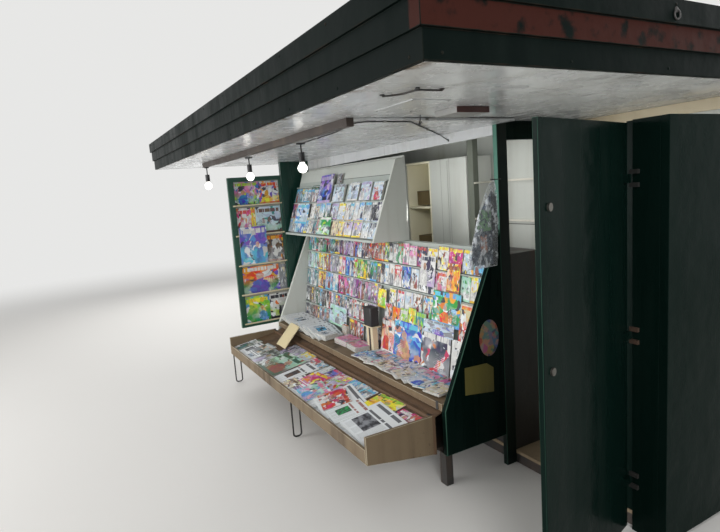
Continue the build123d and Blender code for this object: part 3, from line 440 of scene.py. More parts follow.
made, tree, shader, place, shade = painted("fascia_enamel", GREEN_BLACK, GREEN_CHALK, 0.8, 0.36, 0.16,
                                           shine=PAINT_SHINE)
parts = split(tree, place)
# Painted reflection: a patchy reddish band on the middle step of the near end.
reflected = times(tree, band(tree, parts[2], *REFLECTION_BAND),
               between(tree, parts[0], REFLECTION_FROM_X, REFLECTION_FROM_X + 0.004))
patchy = between(tree, grain(tree, place, 14.0, 6), 0.32, 0.50)
reflected = times(tree, reflected, patchy)
coloured(tree, shader, blend_colour(tree, reflected, shade, NEAR_BAND_REFLECTION))
fascia_enamel = made
fascia_edge = paint("fascia_worn_edge", GREEN_CHALK, EDGE_RUST, 1.0, 0.45, 0.2, shine=PAINT_SHINE)
for side in ("front", "back", "near", "far"):
    edged("fascia_" + side, FASCIA_EDGE, fascia_enamel, fascia_edge)

heads_tree = screw_tree()
fascia_low, fascia_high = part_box("fascia_front")
near_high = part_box("fascia_near")[1]
fascia_screws = []
for rise, step in SCREW_RISES:
    count = int(2 * fascia_high.x / SCREW_SPACING)
    for index in range(count + 1):
        along = (index / count - 0.5) * 2 * (fascia_high.x - SCREW_INSET)
        for side in (-1, 1):
            place = (along, side * (near_high.y - step), fascia_low.z + rise)
            fascia_screws.append((place, (0, side, 0)))
    for index in range(END_SCREWS):
        across_way = (index / (END_SCREWS - 1) - 0.5) * 2 * (near_high.y - SCREW_INSET)
        for side in (-1, 1):
            place = (side * (near_high.x - step), across_way, fascia_low.z + rise)
            fascia_screws.append((place, (side, 0, 0)))
screws("fascia_screws", "root", fascia_screws, fascia_edge, SCREW_RADIUS)

dark_metal = paint("dark_metal", BOLT_BLACK, EDGE_RUST, 0.8, 0.45, 0.1)
ring_line = []
for index in range(RING_CORNERS):
    turn = math.tau * index / RING_CORNERS
    ring_line.append((near_high.x + RING_WIRE, RING_RADIUS * math.cos(turn),
                      RING_HEIGHT - RING_RADIUS + RING_RADIUS * math.sin(turn)))
rod("ring_bolt_ring", ring_line, RING_WIRE, "root", dark_metal, True)
screws("ring_bolt_head", "root", [((near_high.x, 0, RING_HEIGHT), (1, 0, 0))], dark_metal,
       RING_BOLT_RADIUS)

# Roof: one flat sheet laid inside the fascia, below its rim. Grey roofing paint, stained where
# water stands after rain.
ROOF_GREY = (0.23, 0.235, 0.23, 1)
ROOF_STAIN = (0.10, 0.095, 0.085, 1)
roof_paint = paint("roof_paint", ROOF_GREY, ROOF_STAIN, 1.0, 0.6, 0.3, 3)
dress("roof_deck", roof_paint)

# Soffit: steel sheets in glossy white enamel that mirrors the light under it, butted at a dark seam
# beyond the counter and browned along the rim. A bent rod and a hook hang from the entry sheet.
SOFFIT_WHITE = (0.60, 0.62, 0.63, 1)
SOFFIT_AGED = (0.40, 0.40, 0.38, 1)
SEAM_DARK = (0.06, 0.06, 0.055, 1)
RIM_BROWN = (0.20, 0.15, 0.11, 1)
RIM_LINE = 1.045
SEAM_FRONT = (1.357, -0.969)
SEAM_REAR = (1.134, 0.28)
CROSS_SEAMS = (-1.02, -0.14, 1.98)
ROD_LINE = ((1.79, -0.915, 2.119), (1.83, -0.86, 2.119), (1.88, -0.86, 2.1185), (1.93, -0.86, 2.118),
            (1.93, -0.81, 2.1175), (1.925, -0.75, 2.119))
HOOK_LINE = ((1.316, -0.411, 2.124), (1.316, -0.411, 2.095), (1.318, -0.425, 2.080), (1.334, -0.430, 2.076),
             (1.345, -0.424, 2.090))
ROD_ENDS = ((1.93, -0.86, 2.122), (1.79, -0.915, 2.124), (1.925, -0.75, 2.124))
ROD_RADIUS = 0.0035
ROD_END_RADIUS = 0.010
HOOK_RADIUS = 0.003
DOWNWARDS = (0, 0, -1)
HATCH_X = (1.43, 1.72)
HATCH_Y = (-0.735, -0.545)
HATCH_THICK = 0.003
HATCH_SCREWS_OUT = 0.93
HATCH_SCREW_RADIUS = 0.004
SEAM_HALF = 0.0018

made, tree, shader, place, shade = painted("soffit_paint", SOFFIT_WHITE, SOFFIT_AGED, 0.7, 0.16, 0.14, 2.4)
parts = split(tree, place)
slope = (SEAM_REAR[0] - SEAM_FRONT[0]) / (SEAM_REAR[1] - SEAM_FRONT[1])
seam_x = maths(tree, "MULTIPLY_ADD", parts[1], slope, SEAM_FRONT[0] - slope * SEAM_FRONT[1])
from_seam = maths(tree, "SUBTRACT", parts[0], seam_x)
shade = blend_colour(tree, band(tree, from_seam, -SEAM_HALF, SEAM_HALF), shade, SEAM_DARK)
# Painted shade: the entry sheet beyond the seam is toned a little darker, with a short ramp on the far side
# of the seam.
shade = blend_colour(tree, between(tree, from_seam, -0.05, 0.0, 0.0, 0.16), shade, SOFFIT_AGED)
for seam in CROSS_SEAMS:
    shade = blend_colour(tree, band(tree, parts[0], seam - 0.001, seam + 0.001), shade, SEAM_DARK)
filled = times(tree, between(tree, grain(tree, place, 1.7, 5, (1, 3.4, 1)), 0.56, 0.60), 0.35)
shade = blend_colour(tree, filled, shade, SOFFIT_AGED)
rim = between(tree, maths(tree, "ABSOLUTE", parts[1]), RIM_LINE - 0.05, RIM_LINE + 0.03)
rim = times(tree, rim, between(tree, grain(tree, place, 9.0, 6), 0.45, 0.62))
shade = blend_colour(tree, rim, shade, RIM_BROWN)
coloured(tree, shader, shade)
soffit_paint = made
dress("soffit_main", soffit_paint)
dress("soffit_entry", soffit_paint)
rod("soffit_rod", ROD_LINE, ROD_RADIUS, "root", dark_metal)
screws("soffit_rod_ends", "root", [(end, DOWNWARDS) for end in ROD_ENDS], dark_metal,
       ROD_END_RADIUS)
rod("soffit_hook", HOOK_LINE, HOOK_RADIUS, "root", dark_metal)


def slab(name, low, high, body, finish, edge=0.0008):
    """Plain board or plate between two corners, with its edges eased."""
    shape = bmesh.new()
    bmesh.ops.create_cube(shape, size=1)
    middle = (Vector(low) + Vector(high)) / 2
    size = Vector(high) - Vector(low)
    for vert in shape.verts:
        vert.co = Vector([vert.co[axis] * size[axis] + middle[axis] for axis in range(3)])
    if edge:
        bmesh.ops.bevel(shape, geom=shape.edges[:], offset=edge, segments=2, affect="EDGES", profile=0.5)
    return shown(name, meshed(name, shape, finish), body)


soffit_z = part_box("soffit_entry")[0].z
hatch_z = soffit_z - HATCH_THICK
slab("soffit_hatch", (HATCH_X[0], HATCH_Y[0], hatch_z), (HATCH_X[1], HATCH_Y[1], soffit_z), "root",
     soffit_paint)
middle_x, middle_y = sum(HATCH_X) / 2, sum(HATCH_Y) / 2
hatch_screws = []
for x in HATCH_X:
    for y in HATCH_Y:
        place = (middle_x + (x - middle_x) * HATCH_SCREWS_OUT,
                 middle_y + (y - middle_y) * HATCH_SCREWS_OUT, hatch_z)
        hatch_screws.append((place, DOWNWARDS))
screws("hatch_screws", "root", hatch_screws, dark_metal, HATCH_SCREW_RADIUS)

# Light housing over the entry: a shallow sheet-steel box screwed up under the soffit, painted with
# it, with a brown end cap.
END_CAP_BROWN = (0.060, 0.018, 0.014, 1)
HOUSING_GREY = (0.30, 0.30, 0.29, 1)
made, tree, shader, place, shade = painted("housing_paint", HOUSING_GREY, SOFFIT_AGED, 0.6, 0.35, 0.1)
low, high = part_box("light_box")
parts = split(tree, place)
cap = between(tree, parts[0], high.x - 0.003, high.x - 0.002)
coloured(tree, shader, blend_colour(tree, cap, shade, END_CAP_BROWN))
edged("light_box", 0.002, made)

# Body walls: pale boards inside and dark green enamelled sheet outside, on a steel frame. The
# boards lie level and their seams show behind the entry.
WALL_WHITE = (0.53, 0.55, 0.51, 1)
WALL_AGED = (0.36, 0.355, 0.30, 1)
BODY_GREEN = (0.0020, 0.0078, 0.0060, 1)
BODY_WORN = (0.0055, 0.0125, 0.0100, 1)
EDGE_HIGHLIGHT_GREEN = (0.035, 0.085, 0.060, 1)
FAR_GREEN = (0.008, 0.042, 0.031, 1)
POST_HIGHLIGHT = (0.080, 0.200, 0.155, 1)
BOARD_SEAMS = (0.47, 0.797, 1.123, 1.45, 1.777)
BOARD_SEAM_HALF = 0.003
BOARD_SEAM_DARK = (0.10, 0.10, 0.09, 1)
POST_HIGHLIGHT_HEIGHTS = (1.30, 1.75)
back_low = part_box("back_wall")[0]
made, tree, shader, place, inside = painted("wall_boards", WALL_WHITE, WALL_AGED, 0.7, 0.42, 0.1,
                                            shine=0.15)
parts = split(tree, place)
for seam in BOARD_SEAMS:
    dark = band(tree, parts[2], seam - BOARD_SEAM_HALF, seam + BOARD_SEAM_HALF)
    inside = blend_colour(tree, dark, inside, BOARD_SEAM_DARK)
outside = between(tree, parts[1], back_low.y + 0.0005, back_low.y + 0.0015)
coloured(tree, shader, blend_colour(tree, outside, inside, BODY_GREEN))
dress("back_wall", made)

body_enamel = paint("body_enamel", BODY_GREEN, BODY_WORN, 0.6, 0.20, 0.30, 5, shine=PAINT_SHINE)
# Pale green edges: painted highlight along the edges, streaked with wear.
edge_highlight_and_wear = paint("body_edge_highlight_and_wear", EDGE_HIGHLIGHT_GREEN, BODY_WORN, 0.8, 0.35, 0.1, shine=PAINT_SHINE)
for node in ("near_end_wall", "near_post", "passage_lintel", "door_stop"):
    edged(node, 0.002, body_enamel, body_enamel)
far_enamel = paint("far_enamel", FAR_GREEN, BODY_GREEN, 0.6, 0.25, 0.2, 5, shine=0.3)
edged("far_end_wall", 0.002, far_enamel, edge_highlight_and_wear)
posts_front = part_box("display_posts")[0].y
made, tree, shader, place, shade = painted("post_enamel", FAR_GREEN, BODY_GREEN, 0.6, 0.25, 0.2, 5,
                                           shine=0.2)
parts = split(tree, place)
near_one = between(tree, parts[0], 0.0, 0.1)
shade = blend_colour(tree, near_one, shade, BODY_GREEN)
# Painted highlight: a pale upright strip on the front face of the near post, between two heights.
lit = times(tree, near_one, band(tree, parts[1], posts_front - 0.002, posts_front + 0.0025))
lit = times(tree, lit, between(tree, parts[2], *POST_HIGHLIGHT_HEIGHTS))
coloured(tree, shader, blend_colour(tree, lit, shade, POST_HIGHLIGHT))
edged("display_posts", 0.002, made, edge_highlight_and_wear)

# Inner fittings: cream trim, an open niche, a closet and shelves in painted board, and a dark
# cabinet for stock behind the display.
CREAM = (0.58, 0.50, 0.34, 1)
CREAM_AGED = (0.42, 0.34, 0.21, 1)
NICHE_CREAM = (0.78, 0.74, 0.55, 1)
DARK_STEEL = (0.020, 0.020, 0.019, 1)
RUSTY = (0.085, 0.045, 0.027, 1)
UPRIGHT_GREY = (0.13, 0.145, 0.115, 1)
BATTEN_PALE = (0.66, 0.63, 0.55, 1)
CLOSET_SIDE_HIGHLIGHT = (0.82, 0.84, 0.79, 1)
SIDE_BATTENS = (1.775, 1.506)
UPRIGHT_TO_X = 0.328
CLOSET_GROOVES = (-0.057, 0.053)
GROOVE_HALF = 0.0015
GROOVE_DARK = (0.12, 0.12, 0.10, 1)
CARTON_BROWN = (0.150, 0.112, 0.050, 1)
CARTON_DARK = (0.070, 0.050, 0.020, 1)
NICHE_CARTONS = ((0.075, 0.295, 1.6145, 1.735), (0.065, 0.290, 1.2385, 1.345))
CARTON_FROM_FRONT = 0.05
CARTON_FROM_BACK = 0.06
BATTEN_HALF = 0.007
cream_paint = paint("cream_paint", CREAM, CREAM_AGED, 0.7, 0.42, 0.08)
white_board = paint("white_board", WALL_WHITE, WALL_AGED, 0.6, 0.45, 0.08)
dark_paint = paint("dark_steel_paint", DARK_STEEL, RUSTY, 0.8, 0.4, 0.15, dirt=RUSTY)
edged("entry_trim", 0.0015, cream_paint)
edged("shelf_niche", 0.0015, paint("niche_cream", NICHE_CREAM, CREAM, 0.5, 0.42, 0.08))
edged("wall_shelves", 0.0015, white_board)
made, tree, shader, place, shade = painted("closet_boards", WALL_WHITE, WALL_AGED, 0.5, 0.45, 0.08)
parts = split(tree, place)
for groove in CLOSET_GROOVES:
    dark = band(tree, parts[0], groove - GROOVE_HALF, groove + GROOVE_HALF)
    shade = blend_colour(tree, dark, shade, GROOVE_DARK)
# Painted highlight: the closet's near side face is painted much whiter than its front.
closet_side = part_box("closet")[1].x
lit_side = between(tree, parts[0], closet_side - 0.0012, closet_side - 0.0006)
coloured(tree, shader, blend_colour(tree, lit_side, shade, CLOSET_SIDE_HIGHLIGHT))
edged("closet", 0.0015, made)
made, tree, shader, place, shade = painted("batten_paint", BATTEN_PALE, WALL_AGED, 0.6, 0.45, 0.08)
parts = split(tree, place)
upright = between(tree, parts[0], UPRIGHT_TO_X - 0.0016, UPRIGHT_TO_X - 0.001, 1.0, 0.0)
coloured(tree, shader, blend_colour(tree, upright, shade, UPRIGHT_GREY))
edged("wall_battens", 0.0012, made)
upright_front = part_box("wall_battens")[0].y
for index, height in enumerate(SIDE_BATTENS):
    slab(f"side_batten_{index + 1}", (UPRIGHT_TO_X - 0.002, upright_front + 0.002, height - BATTEN_HALF),
         (UPRIGHT_TO_X + 0.006, back_low.y, height + BATTEN_HALF), "root", made, 0.001)
edged("stock_cabinet", 0.003, dark_paint)
carton = paint("carton", CARTON_BROWN, CARTON_DARK, 1.0, 0.7, 0.05)
niche_low, niche_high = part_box("shelf_niche")
for index, (start, end, foot, head) in enumerate(NICHE_CARTONS):
    slab(f"niche_carton_{index + 1}", (niche_low.x + start, niche_low.y + CARTON_FROM_FRONT, foot),
         (niche_low.x + end, niche_high.y - CARTON_FROM_BACK, head), "root", carton, 0.002)

# Floor and small steel: skids and joists under a worn plywood deck, and the feet, guides, arms,
# brackets, legs and hinge pins, all in dark paint with rust coming through.
PLYWOOD = (0.24, 0.18, 0.11, 1)
PLYWOOD_DARK = (0.11, 0.08, 0.05, 1)
deck_wood = paint("deck_plywood", PLYWOOD, PLYWOOD_DARK, 1.0, 0.6, 0.1)
dress("floor_deck", deck_wood)
for node in ("base_skids", "floor_joists", "display_feet", "display_floor", "tray_guides"):
    dress(node, dark_paint)
for node in ("tray_arms", "tray_brackets", "tray_legs", "hinge_pins"):
    edged(node, 0, dark_paint, round_from=40)

# Header and raised flap: the flap is an upper door, one white sheet hooked up under the soffit by a
# brown beam along its front. The header is a board painted with the soffit.
BEAM_BROWN = (0.040, 0.028, 0.022, 1)
BEAM_WORN = (0.13, 0.10, 0.075, 1)
BEAM_SCREWS = 9
BEAM_SCREW_INSET = 0.10
BEAM_SCREW_RADIUS = 0.0045
beam_paint = paint("beam_paint", BEAM_BROWN, BEAM_WORN, 0.9, 0.45, 0.1)
dress("header_board", soffit_paint)
edged("front_flap", 0.0015, soffit_paint)
edged("flap_beam", 0.002, beam_paint)
flap_low, flap_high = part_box("front_flap")
beam_low, beam_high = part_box("flap_beam")
flap_screws = []
for index in range(BEAM_SCREWS):
    along = flap_low.x + BEAM_SCREW_INSET
    along += index * (flap_high.x - flap_low.x - 2 * BEAM_SCREW_INSET) / (BEAM_SCREWS - 1)
    flap_screws.append(((along, (beam_low.y + beam_high.y) / 2, beam_low.z), DOWNWARDS))
screws("beam_screws", "root", flap_screws, dark_metal, BEAM_SCREW_RADIUS)

# Lamps: three bulbs in black plastic holders that hang by short stems, and one black flex that runs
# from the near one under the flap, held by metal clips, and into the header.
BULB_WHITE = (0.9, 0.9, 0.88, 1)
BULB_GLOW = (1.0, 0.97, 0.90, 1)
BULB_STRENGTH = 3.5
LAMP_BLACK = (0.012, 0.012, 0.013, 1)
LAMP_WORN = (0.05, 0.05, 0.05, 1)
CLIP_METAL = (0.45, 0.44, 0.42, 1)
CLIP_WORN = (0.20, 0.18, 0.15, 1)
made, tree, shader, place = new_material("bulb_glass")
shader.inputs["Base Color"].default_value = BULB_WHITE
shader.inputs["Roughness"].default_value = 0.2
shader.inputs["Emission Color"].default_value = BULB_GLOW
shader.inputs["Emission Strength"].default_value = BULB_STRENGTH
edged("bulbs", 0, made, round_from=60)
lamp_black = paint("lamp_black", LAMP_BLACK, LAMP_WORN, 0.5, 0.45, 0.05)
edged("lampholders", 0, lamp_black, round_from=40)
edged("lamp_cable", 0, lamp_black, round_from=60)
made, tree, shader, place, shade = painted("worn_metal", CLIP_METAL, CLIP_WORN, 0.8, 0.38, 0.08)
shader.inputs["Metallic"].default_value = 0.8
edged("cable_clips", 0, made, round_from=40)

# Display stand: a green near side panel whose pale edge is painted highlight with wear, a white far
# one, a leaning grey-white board and rack with their ledges, and a plain wooden counter, greyed and
# grimed by hands.
COUNTER_WOOD = (0.155, 0.105, 0.058, 1)
COUNTER_DARK = (0.055, 0.035, 0.018, 1)
RAIL_PALE = (0.42, 0.38, 0.28, 1)
RACK_GREY = (0.36, 0.40, 0.375, 1)
RACK_SEAM = (1.881, 1.885)
RACK_SEAM_FROM_X = -0.70
counter_wood = paint("counter_wood", COUNTER_WOOD, COUNTER_DARK, 1.0, 0.5, 0.1, dirt=COUNTER_DARK)
rail_wood = paint("rail_wood", RAIL_PALE, COUNTER_WOOD, 1.0, 0.5, 0.1)
edged("display_side_near", 0.004, body_enamel, edge_highlight_and_wear)
rack_board = paint("rack_board", RACK_GREY, WALL_AGED, 0.6, 0.45, 0.08)
for node in ("display_side_far", "display_partition", "rack_side"):
    edged(node, 0.0015, white_board)
for node in ("display_board", "rack_ledges"):
    edged(node, 0.0015, rack_board)
made, tree, shader, place, shade = painted("rack_back", RACK_GREY, WALL_AGED, 0.6, 0.45, 0.08)
parts = split(tree, place)
seam = times(tree, band(tree, parts[2], *RACK_SEAM),
             between(tree, parts[0], RACK_SEAM_FROM_X, RACK_SEAM_FROM_X + 0.002))
above_seam = between(tree, parts[2], RACK_SEAM[1], RACK_SEAM[1] + 0.001, 0.0, 0.6)
shade = blend_colour(tree, above_seam, shade, WALL_WHITE)
coloured(tree, shader, blend_colour(tree, seam, shade, SEAM_DARK))
edged("upper_rack", 0.0015, made)
edged("counter", 0.0015, counter_wood, rail_wood)
edged("magazine_ledges", 0.001, rack_board)
counter_low, counter_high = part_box("counter")
slab("counter_catch", (counter_high.x - 0.052, counter_low.y - 0.004, counter_low.z + 0.002),
     (counter_high.x - 0.030, counter_low.y, counter_high.z + 0.010), "root", dark_metal,
     0.001)

# Pay box: a small black tin on a cream post with a square board, standing on the counter. The post
# is two strips with a channel between them, drawn as a flat band of painted shade.
PEDESTAL_CHANNEL = 0.028
CHANNEL_BELOW_TOP = 0.014
CHANNEL_SHADE = (0.03, 0.022, 0.018, 1)
made, tree, shader, place, shade = painted("pedestal_paint", CREAM, CREAM_AGED, 0.7, 0.42, 0.08)
low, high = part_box("pedestal")
parts = split(tree, place)
middle_x = (low.x + high.x) / 2
# Painted shade: no recess is cut; a dark band down the middle of the post, below its top, stands for the
# channel.
channel = band(tree, parts[0], middle_x - PEDESTAL_CHANNEL / 2, middle_x + PEDESTAL_CHANNEL / 2)
channel_top = high.z - CHANNEL_BELOW_TOP
channel = times(tree, channel, between(tree, parts[2], channel_top - 0.002, channel_top, 1.0, 0.0))
coloured(tree, shader, blend_colour(tree, channel, shade, CHANNEL_SHADE))
edged("pedestal", 0.001, made)
edged("black_box", 0.003, lamp_black)

# Tray: a shallow wooden box with a leaning deck, its front board bleached and grimed, its back rail
# bare brown timber with a plank that slopes up under the counter. It stands on legs of bent bar.
TRAY_BEIGE = (0.150, 0.108, 0.062, 1)
TRAY_GRIME = (0.060, 0.038, 0.020, 1)
DECK_BROWN = (0.105, 0.060, 0.032, 1)
DECK_DARK = (0.045, 0.028, 0.018, 1)
REAR_BOARD_Y = -0.250
PLANK_FOOT = (0, -0.227, 0.430)
PLANK_RUN = 0.088
PLANK_RISE = 0.028
PLANK_THICK = 0.010
PLANK_GAP = 0.004
tray_finishes = []
for name, fresh, worn in (("tray_board", TRAY_BEIGE, TRAY_GRIME), ("tray_edge", RAIL_PALE, COUNTER_WOOD)):
    made, tree, shader, place, shade = painted(name, fresh, worn, 1.0, 0.55, 0.12, dirt=TRAY_GRIME)
    depth = split(tree, place)[1]
    rear = between(tree, depth, REAR_BOARD_Y - 0.001, REAR_BOARD_Y)
    coloured(tree, shader, blend_colour(tree, rear, shade, DECK_BROWN))
    tray_finishes.append(made)
tray_deck_wood = paint("tray_deck_wood", DECK_BROWN, DECK_DARK, 1.0, 0.55, 0.1)
edged("tray_box", 0.0015, *tray_finishes)
edged("tray_ends", 0.0015, *tray_finishes)
edged("tray_deck", 0.0015, tray_deck_wood)
deck_low, deck_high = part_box("tray_deck")
plank = slab("tray_rear_plank", (deck_low.x + PLANK_GAP, 0, 0),
             (deck_high.x - PLANK_GAP, PLANK_RUN, PLANK_THICK), "tray", tray_deck_wood, 0.001)
plank_lean = Matrix.Rotation(math.atan2(PLANK_RISE, PLANK_RUN), 4, "X")
plank.data.transform(Matrix.Translation(PLANK_FOOT) @ plank_lean)

# Printed goods: covers and papers share two prints. A design is worked out from the sheet's own
# plane and a seed: toned ground, patches, soft figures and plain bars. Nothing on it can be read.
PAPER_WHITE = (0.66, 0.69, 0.71, 1)
PAGE_EDGE = (0.56, 0.56, 0.52, 1)
PAGE_SHADOW = (0.30, 0.30, 0.28, 1)
INK_BLACK = (0.02, 0.02, 0.025, 1)
INK_DEEP = (0.035, 0.035, 0.055, 1)
SKIN_TONE = (0.50, 0.27, 0.17, 1)
INK_FIELDS = ("ink_ground", "ink_figure", "ink_strip", "ink_foot")
INKS = {
    "white": (0.62, 0.62, 0.60), "grey": (0.22, 0.23, 0.25), "black": (0.02, 0.02, 0.03),
    "navy": (0.015, 0.02, 0.06), "blue": (0.02, 0.14, 0.46), "sky": (0.10, 0.38, 0.62),
    "ice": (0.42, 0.52, 0.62), "violet": (0.12, 0.08, 0.46), "lilac": (0.40, 0.32, 0.52),
    "purple": (0.20, 0.05, 0.22), "pink": (0.62, 0.18, 0.36), "magenta": (0.52, 0.03, 0.20),
    "red": (0.52, 0.025, 0.03), "brick": (0.26, 0.06, 0.04), "orange": (0.70, 0.20, 0.02),
    "yellow": (0.74, 0.56, 0.03), "lime": (0.30, 0.54, 0.05), "green": (0.02, 0.28, 0.08),
    "teal": (0.02, 0.20, 0.22), "mint": (0.34, 0.58, 0.46), "forest": (0.02, 0.09, 0.05),
    "skin": (0.52, 0.27, 0.16), "peach": (0.66, 0.32, 0.24), "brown": (0.11, 0.055, 0.03),
    "cream": (0.60, 0.52, 0.34),
}


def print_noise(tree, place, seed, scale, detail=3.0):
    """Noise across the print that differs from cover to cover."""
    made = add_node(tree, "ShaderNodeTexNoise", {"W": seed, "Scale": scale, "Detail": detail},
                    noise_dimensions="4D")
    if isinstance(place, bpy.types.NodeSocket):
        tree.links.new(place, made.inputs["Vector"])
    else:
        fixed = add_node(tree, "ShaderNodeCombineXYZ", {0: place[0], 1: place[1], 2: place[2]})
        tree.links.new(fixed.outputs[0], made.inputs["Vector"])
    return made.outputs["Fac"]


def blocks(tree, across, seed, scale, share):
    """Broken run of plain blocks along a line."""
    row = add_node(tree, "ShaderNodeCombineXYZ", {0: across, 1: 0.0, 2: 0.0}).outputs[0]
    return between(tree, print_noise(tree, row, seed, scale, 1.0), share, share + 0.03)


def oval(tree, across, upward, middle, reach, wobble):
    """Soft-edged rounded shape: its middle and its reach, with an uneven outline."""
    side = maths(tree, "DIVIDE", maths(tree, "SUBTRACT", across, middle[0]), reach[0])
    rise = maths(tree, "DIVIDE", maths(tree, "SUBTRACT", upward, middle[1]), reach[1])
    side = times(tree, side, side)
    rise = times(tree, rise, rise)
    measure = maths(tree, "ADD", maths(tree, "ADD", side, rise), wobble)
    return between(tree, measure, 0.80, 0.95, 1.0, 0.0)


def chance(tree, seed, pace):
    """Number from 0 to 1 that belongs to a cover."""
    wave = maths(tree, "SINE", times(tree, seed, pace))
    return maths(tree, "MULTIPLY_ADD", wave, 0.5, 0.5)


def print_parts(name):
    """Material of a print, with its plane, its seed and its four inks."""
    made = bpy.data.materials.new(name)
    made.use_nodes = True
    tree = made.node_tree
    plane = add_node(tree, "ShaderNodeUVMap", uv_map="UVMap").outputs[0]
    parts = split(tree, plane)
    seed = add_node(tree, "ShaderNodeAttribute", attribute_name="print_seed").outputs["Fac"]
    inks = [add_node(tree, "ShaderNodeAttribute", attribute_name=label).outputs["Color"]
            for label in INK_FIELDS]
    return made, tree, tree.nodes["Principled BSDF"], plane, parts[0], parts[1], seed, inks


made, tree, shader, plane, across, upward, seed, inks = print_parts("cover_print")
drift = maths(tree, "MULTIPLY_ADD", chance(tree, seed, 7.3), 0.44, 0.28)
build = maths(tree, "MULTIPLY_ADD", chance(tree, seed, 11.9), 0.45, 0.75)
swirl = add_node(tree, "ShaderNodeTexNoise", {"Vector": plane, "W": seed, "Scale": 2.6, "Detail": 2.0},
                 noise_dimensions="4D").outputs["Color"]
warped = add_node(tree, "ShaderNodeVectorMath", {0: swirl, 1: (0.55, 0.55, 0.0), 2: plane},
                  operation="MULTIPLY_ADD").outputs[0]
tone = print_noise(tree, plane, seed, 2.4, 2.0)
low_part = between(tree, maths(tree, "MULTIPLY_ADD", tone, 0.5, upward), 0.45, 0.85, 1.0, 0.0)
shade = blend_colour(tree, low_part, inks[0], inks[3])
shade = blend_colour(tree, between(tree, tone, 0.50, 0.66, 0.0, 0.45), shade, PAPER_WHITE)
cells = add_node(tree, "ShaderNodeTexVoronoi", {"Vector": warped, "W": seed, "Scale": 6.5},
                 voronoi_dimensions="4D").outputs["Color"]
hues = add_node(tree, "ShaderNodeSeparateColor", {0: cells}).outputs
pictured = between(tree, print_noise(tree, plane, seed, 2.8, 2.0), 0.44, 0.50)
shares = ((0.00, 0.20, inks[1]), (0.20, 0.38, inks[2]), (0.38, 0.50, PAPER_WHITE), (0.50, 0.60, INK_DEEP))
for low, high, ink in shares:
    picked = times(tree, band(tree, hues[0], low, high, 0.004), pictured)
    shade = blend_colour(tree, picked, shade, ink)
wobble = maths(tree, "MULTIPLY_ADD", print_noise(tree, plane, seed, 7.0, 4.0), 1.7, -0.85)
folds = between(tree, print_noise(tree, warped, seed, 9.0, 3.0), 0.42, 0.62, 0.0, 0.6)
peopled = between(tree, chance(tree, seed, 17.1), 0.30, 0.34)
shoulder = times(tree, build, 0.30)
lower = oval(tree, across, upward, (drift, 0.20), (times(tree, build, 0.24), shoulder), wobble)
lower = times(tree, lower, peopled)
folded = blend_colour(tree, folds, inks[1], blend_colour(tree, 0.5, inks[1], INK_DEEP))
shade = blend_colour(tree, lower, shade, folded)
face_height = maths(tree, "ADD", shoulder, 0.29)
face_reach = times(tree, build, 0.10)
upper = oval(tree, across, upward, (drift, face_height), (face_reach, times(tree, face_reach, 1.1)), wobble)
upper = times(tree, upper, peopled)
shade = blend_colour(tree, upper, shade, blend_colour(tree, folds, SKIN_TONE, inks[2]))
head_foot = maths(tree, "MULTIPLY_ADD", chance(tree, seed, 5.7), 0.07, 0.78)
lettered = times(tree, band(tree, maths(tree, "SUBTRACT", upward, head_foot), 0.0, 0.13, 0.004),
                 blocks(tree, across, seed, 13.0, 0.42))
lettered = times(tree, lettered, band(tree, across, 0.06, 0.93, 0.004))
shade = blend_colour(tree, lettered, shade, inks[2])
side = maths(tree, "SUBTRACT", across, times(tree, chance(tree, seed, 23.3), 0.62))
ripple = maths(tree, "SINE", times(tree, upward, 150.0))
lines = times(tree, between(tree, ripple, 0.0, 0.3), blocks(tree, across, seed, 34.0, 0.45))
lines = times(tree, lines, band(tree, side, 0.04, 0.34, 0.004))
lines = times(tree, lines, band(tree, upward, 0.10, 0.52, 0.004))
line_ink = blend_colour(tree, pictured, INK_DEEP, PAPER_WHITE)
shade = blend_colour(tree, times(tree, lines, 0.85), shade, line_ink)
footed = times(tree, between(tree, upward, 0.085, 0.09, 1.0, 0.0),
               between(tree, chance(tree, seed, 29.9), 0.5, 0.54))
shade = blend_colour(tree, footed, shade, inks[2])
hue = maths(tree, "MULTIPLY_ADD", hues[1], 0.10, 0.45)
value = maths(tree, "MULTIPLY_ADD", hues[2], 0.30, 0.85)
vivid = add_node(tree, "ShaderNodeHueSaturation", {"Hue": hue, "Value": value, "Color": shade}).outputs[0]
coloured(tree, shader, vivid)
shader.inputs["Roughness"].default_value = 0.28
shader.inputs["Coat Weight"].default_value = 0.3
shader.inputs["Coat Roughness"].default_value = 0.10
cover_print = made

made, tree, shader, plane, across, upward, seed, inks = print_parts("news_print")
yellowed = between(tree, print_noise(tree, plane, seed, 3.0, 3.0), 0.3, 0.7, 0.0, 0.3)
shade = blend_colour(tree, yellowed, PAPER_WHITE, blend_colour(tree, 0.35, PAGE_EDGE, inks[0]))
columns = between(tree, maths(tree, "SINE", times(tree, across, 31.4)), -0.85, -0.7)
text = between(tree, maths(tree, "SINE", times(tree, upward, 330.0)), -0.1, 0.5)
text = times(tree, text, columns)
text = times(tree, text, band(tree, upward, 0.06, 0.60, 0.004))
text = times(tree, text, band(tree, across, 0.05, 0.95, 0.004))
shade = blend_colour(tree, times(tree, text, 0.32), shade, INK_BLACK)
bars = times(tree, band(tree, upward, 0.64, 0.70, 0.003), blocks(tree, across, seed, 9.0, 0.40))
title = times(tree, band(tree, upward, 0.86, 0.94, 0.003), blocks(tree, across, seed, 7.0, 0.38))
bars = times(tree, maths(tree, "MAXIMUM", bars, title), band(tree, across, 0.06, 0.94, 0.004))
shade = blend_colour(tree, times(tree, bars, 0.85), shade, inks[2])
left = maths(tree, "MULTIPLY_ADD", print_noise(tree, (0.5, 0.5, 0.0), seed, 7.0, 0.0), 0.9, -0.25)
from_left = maths(tree, "SUBTRACT", across, left)
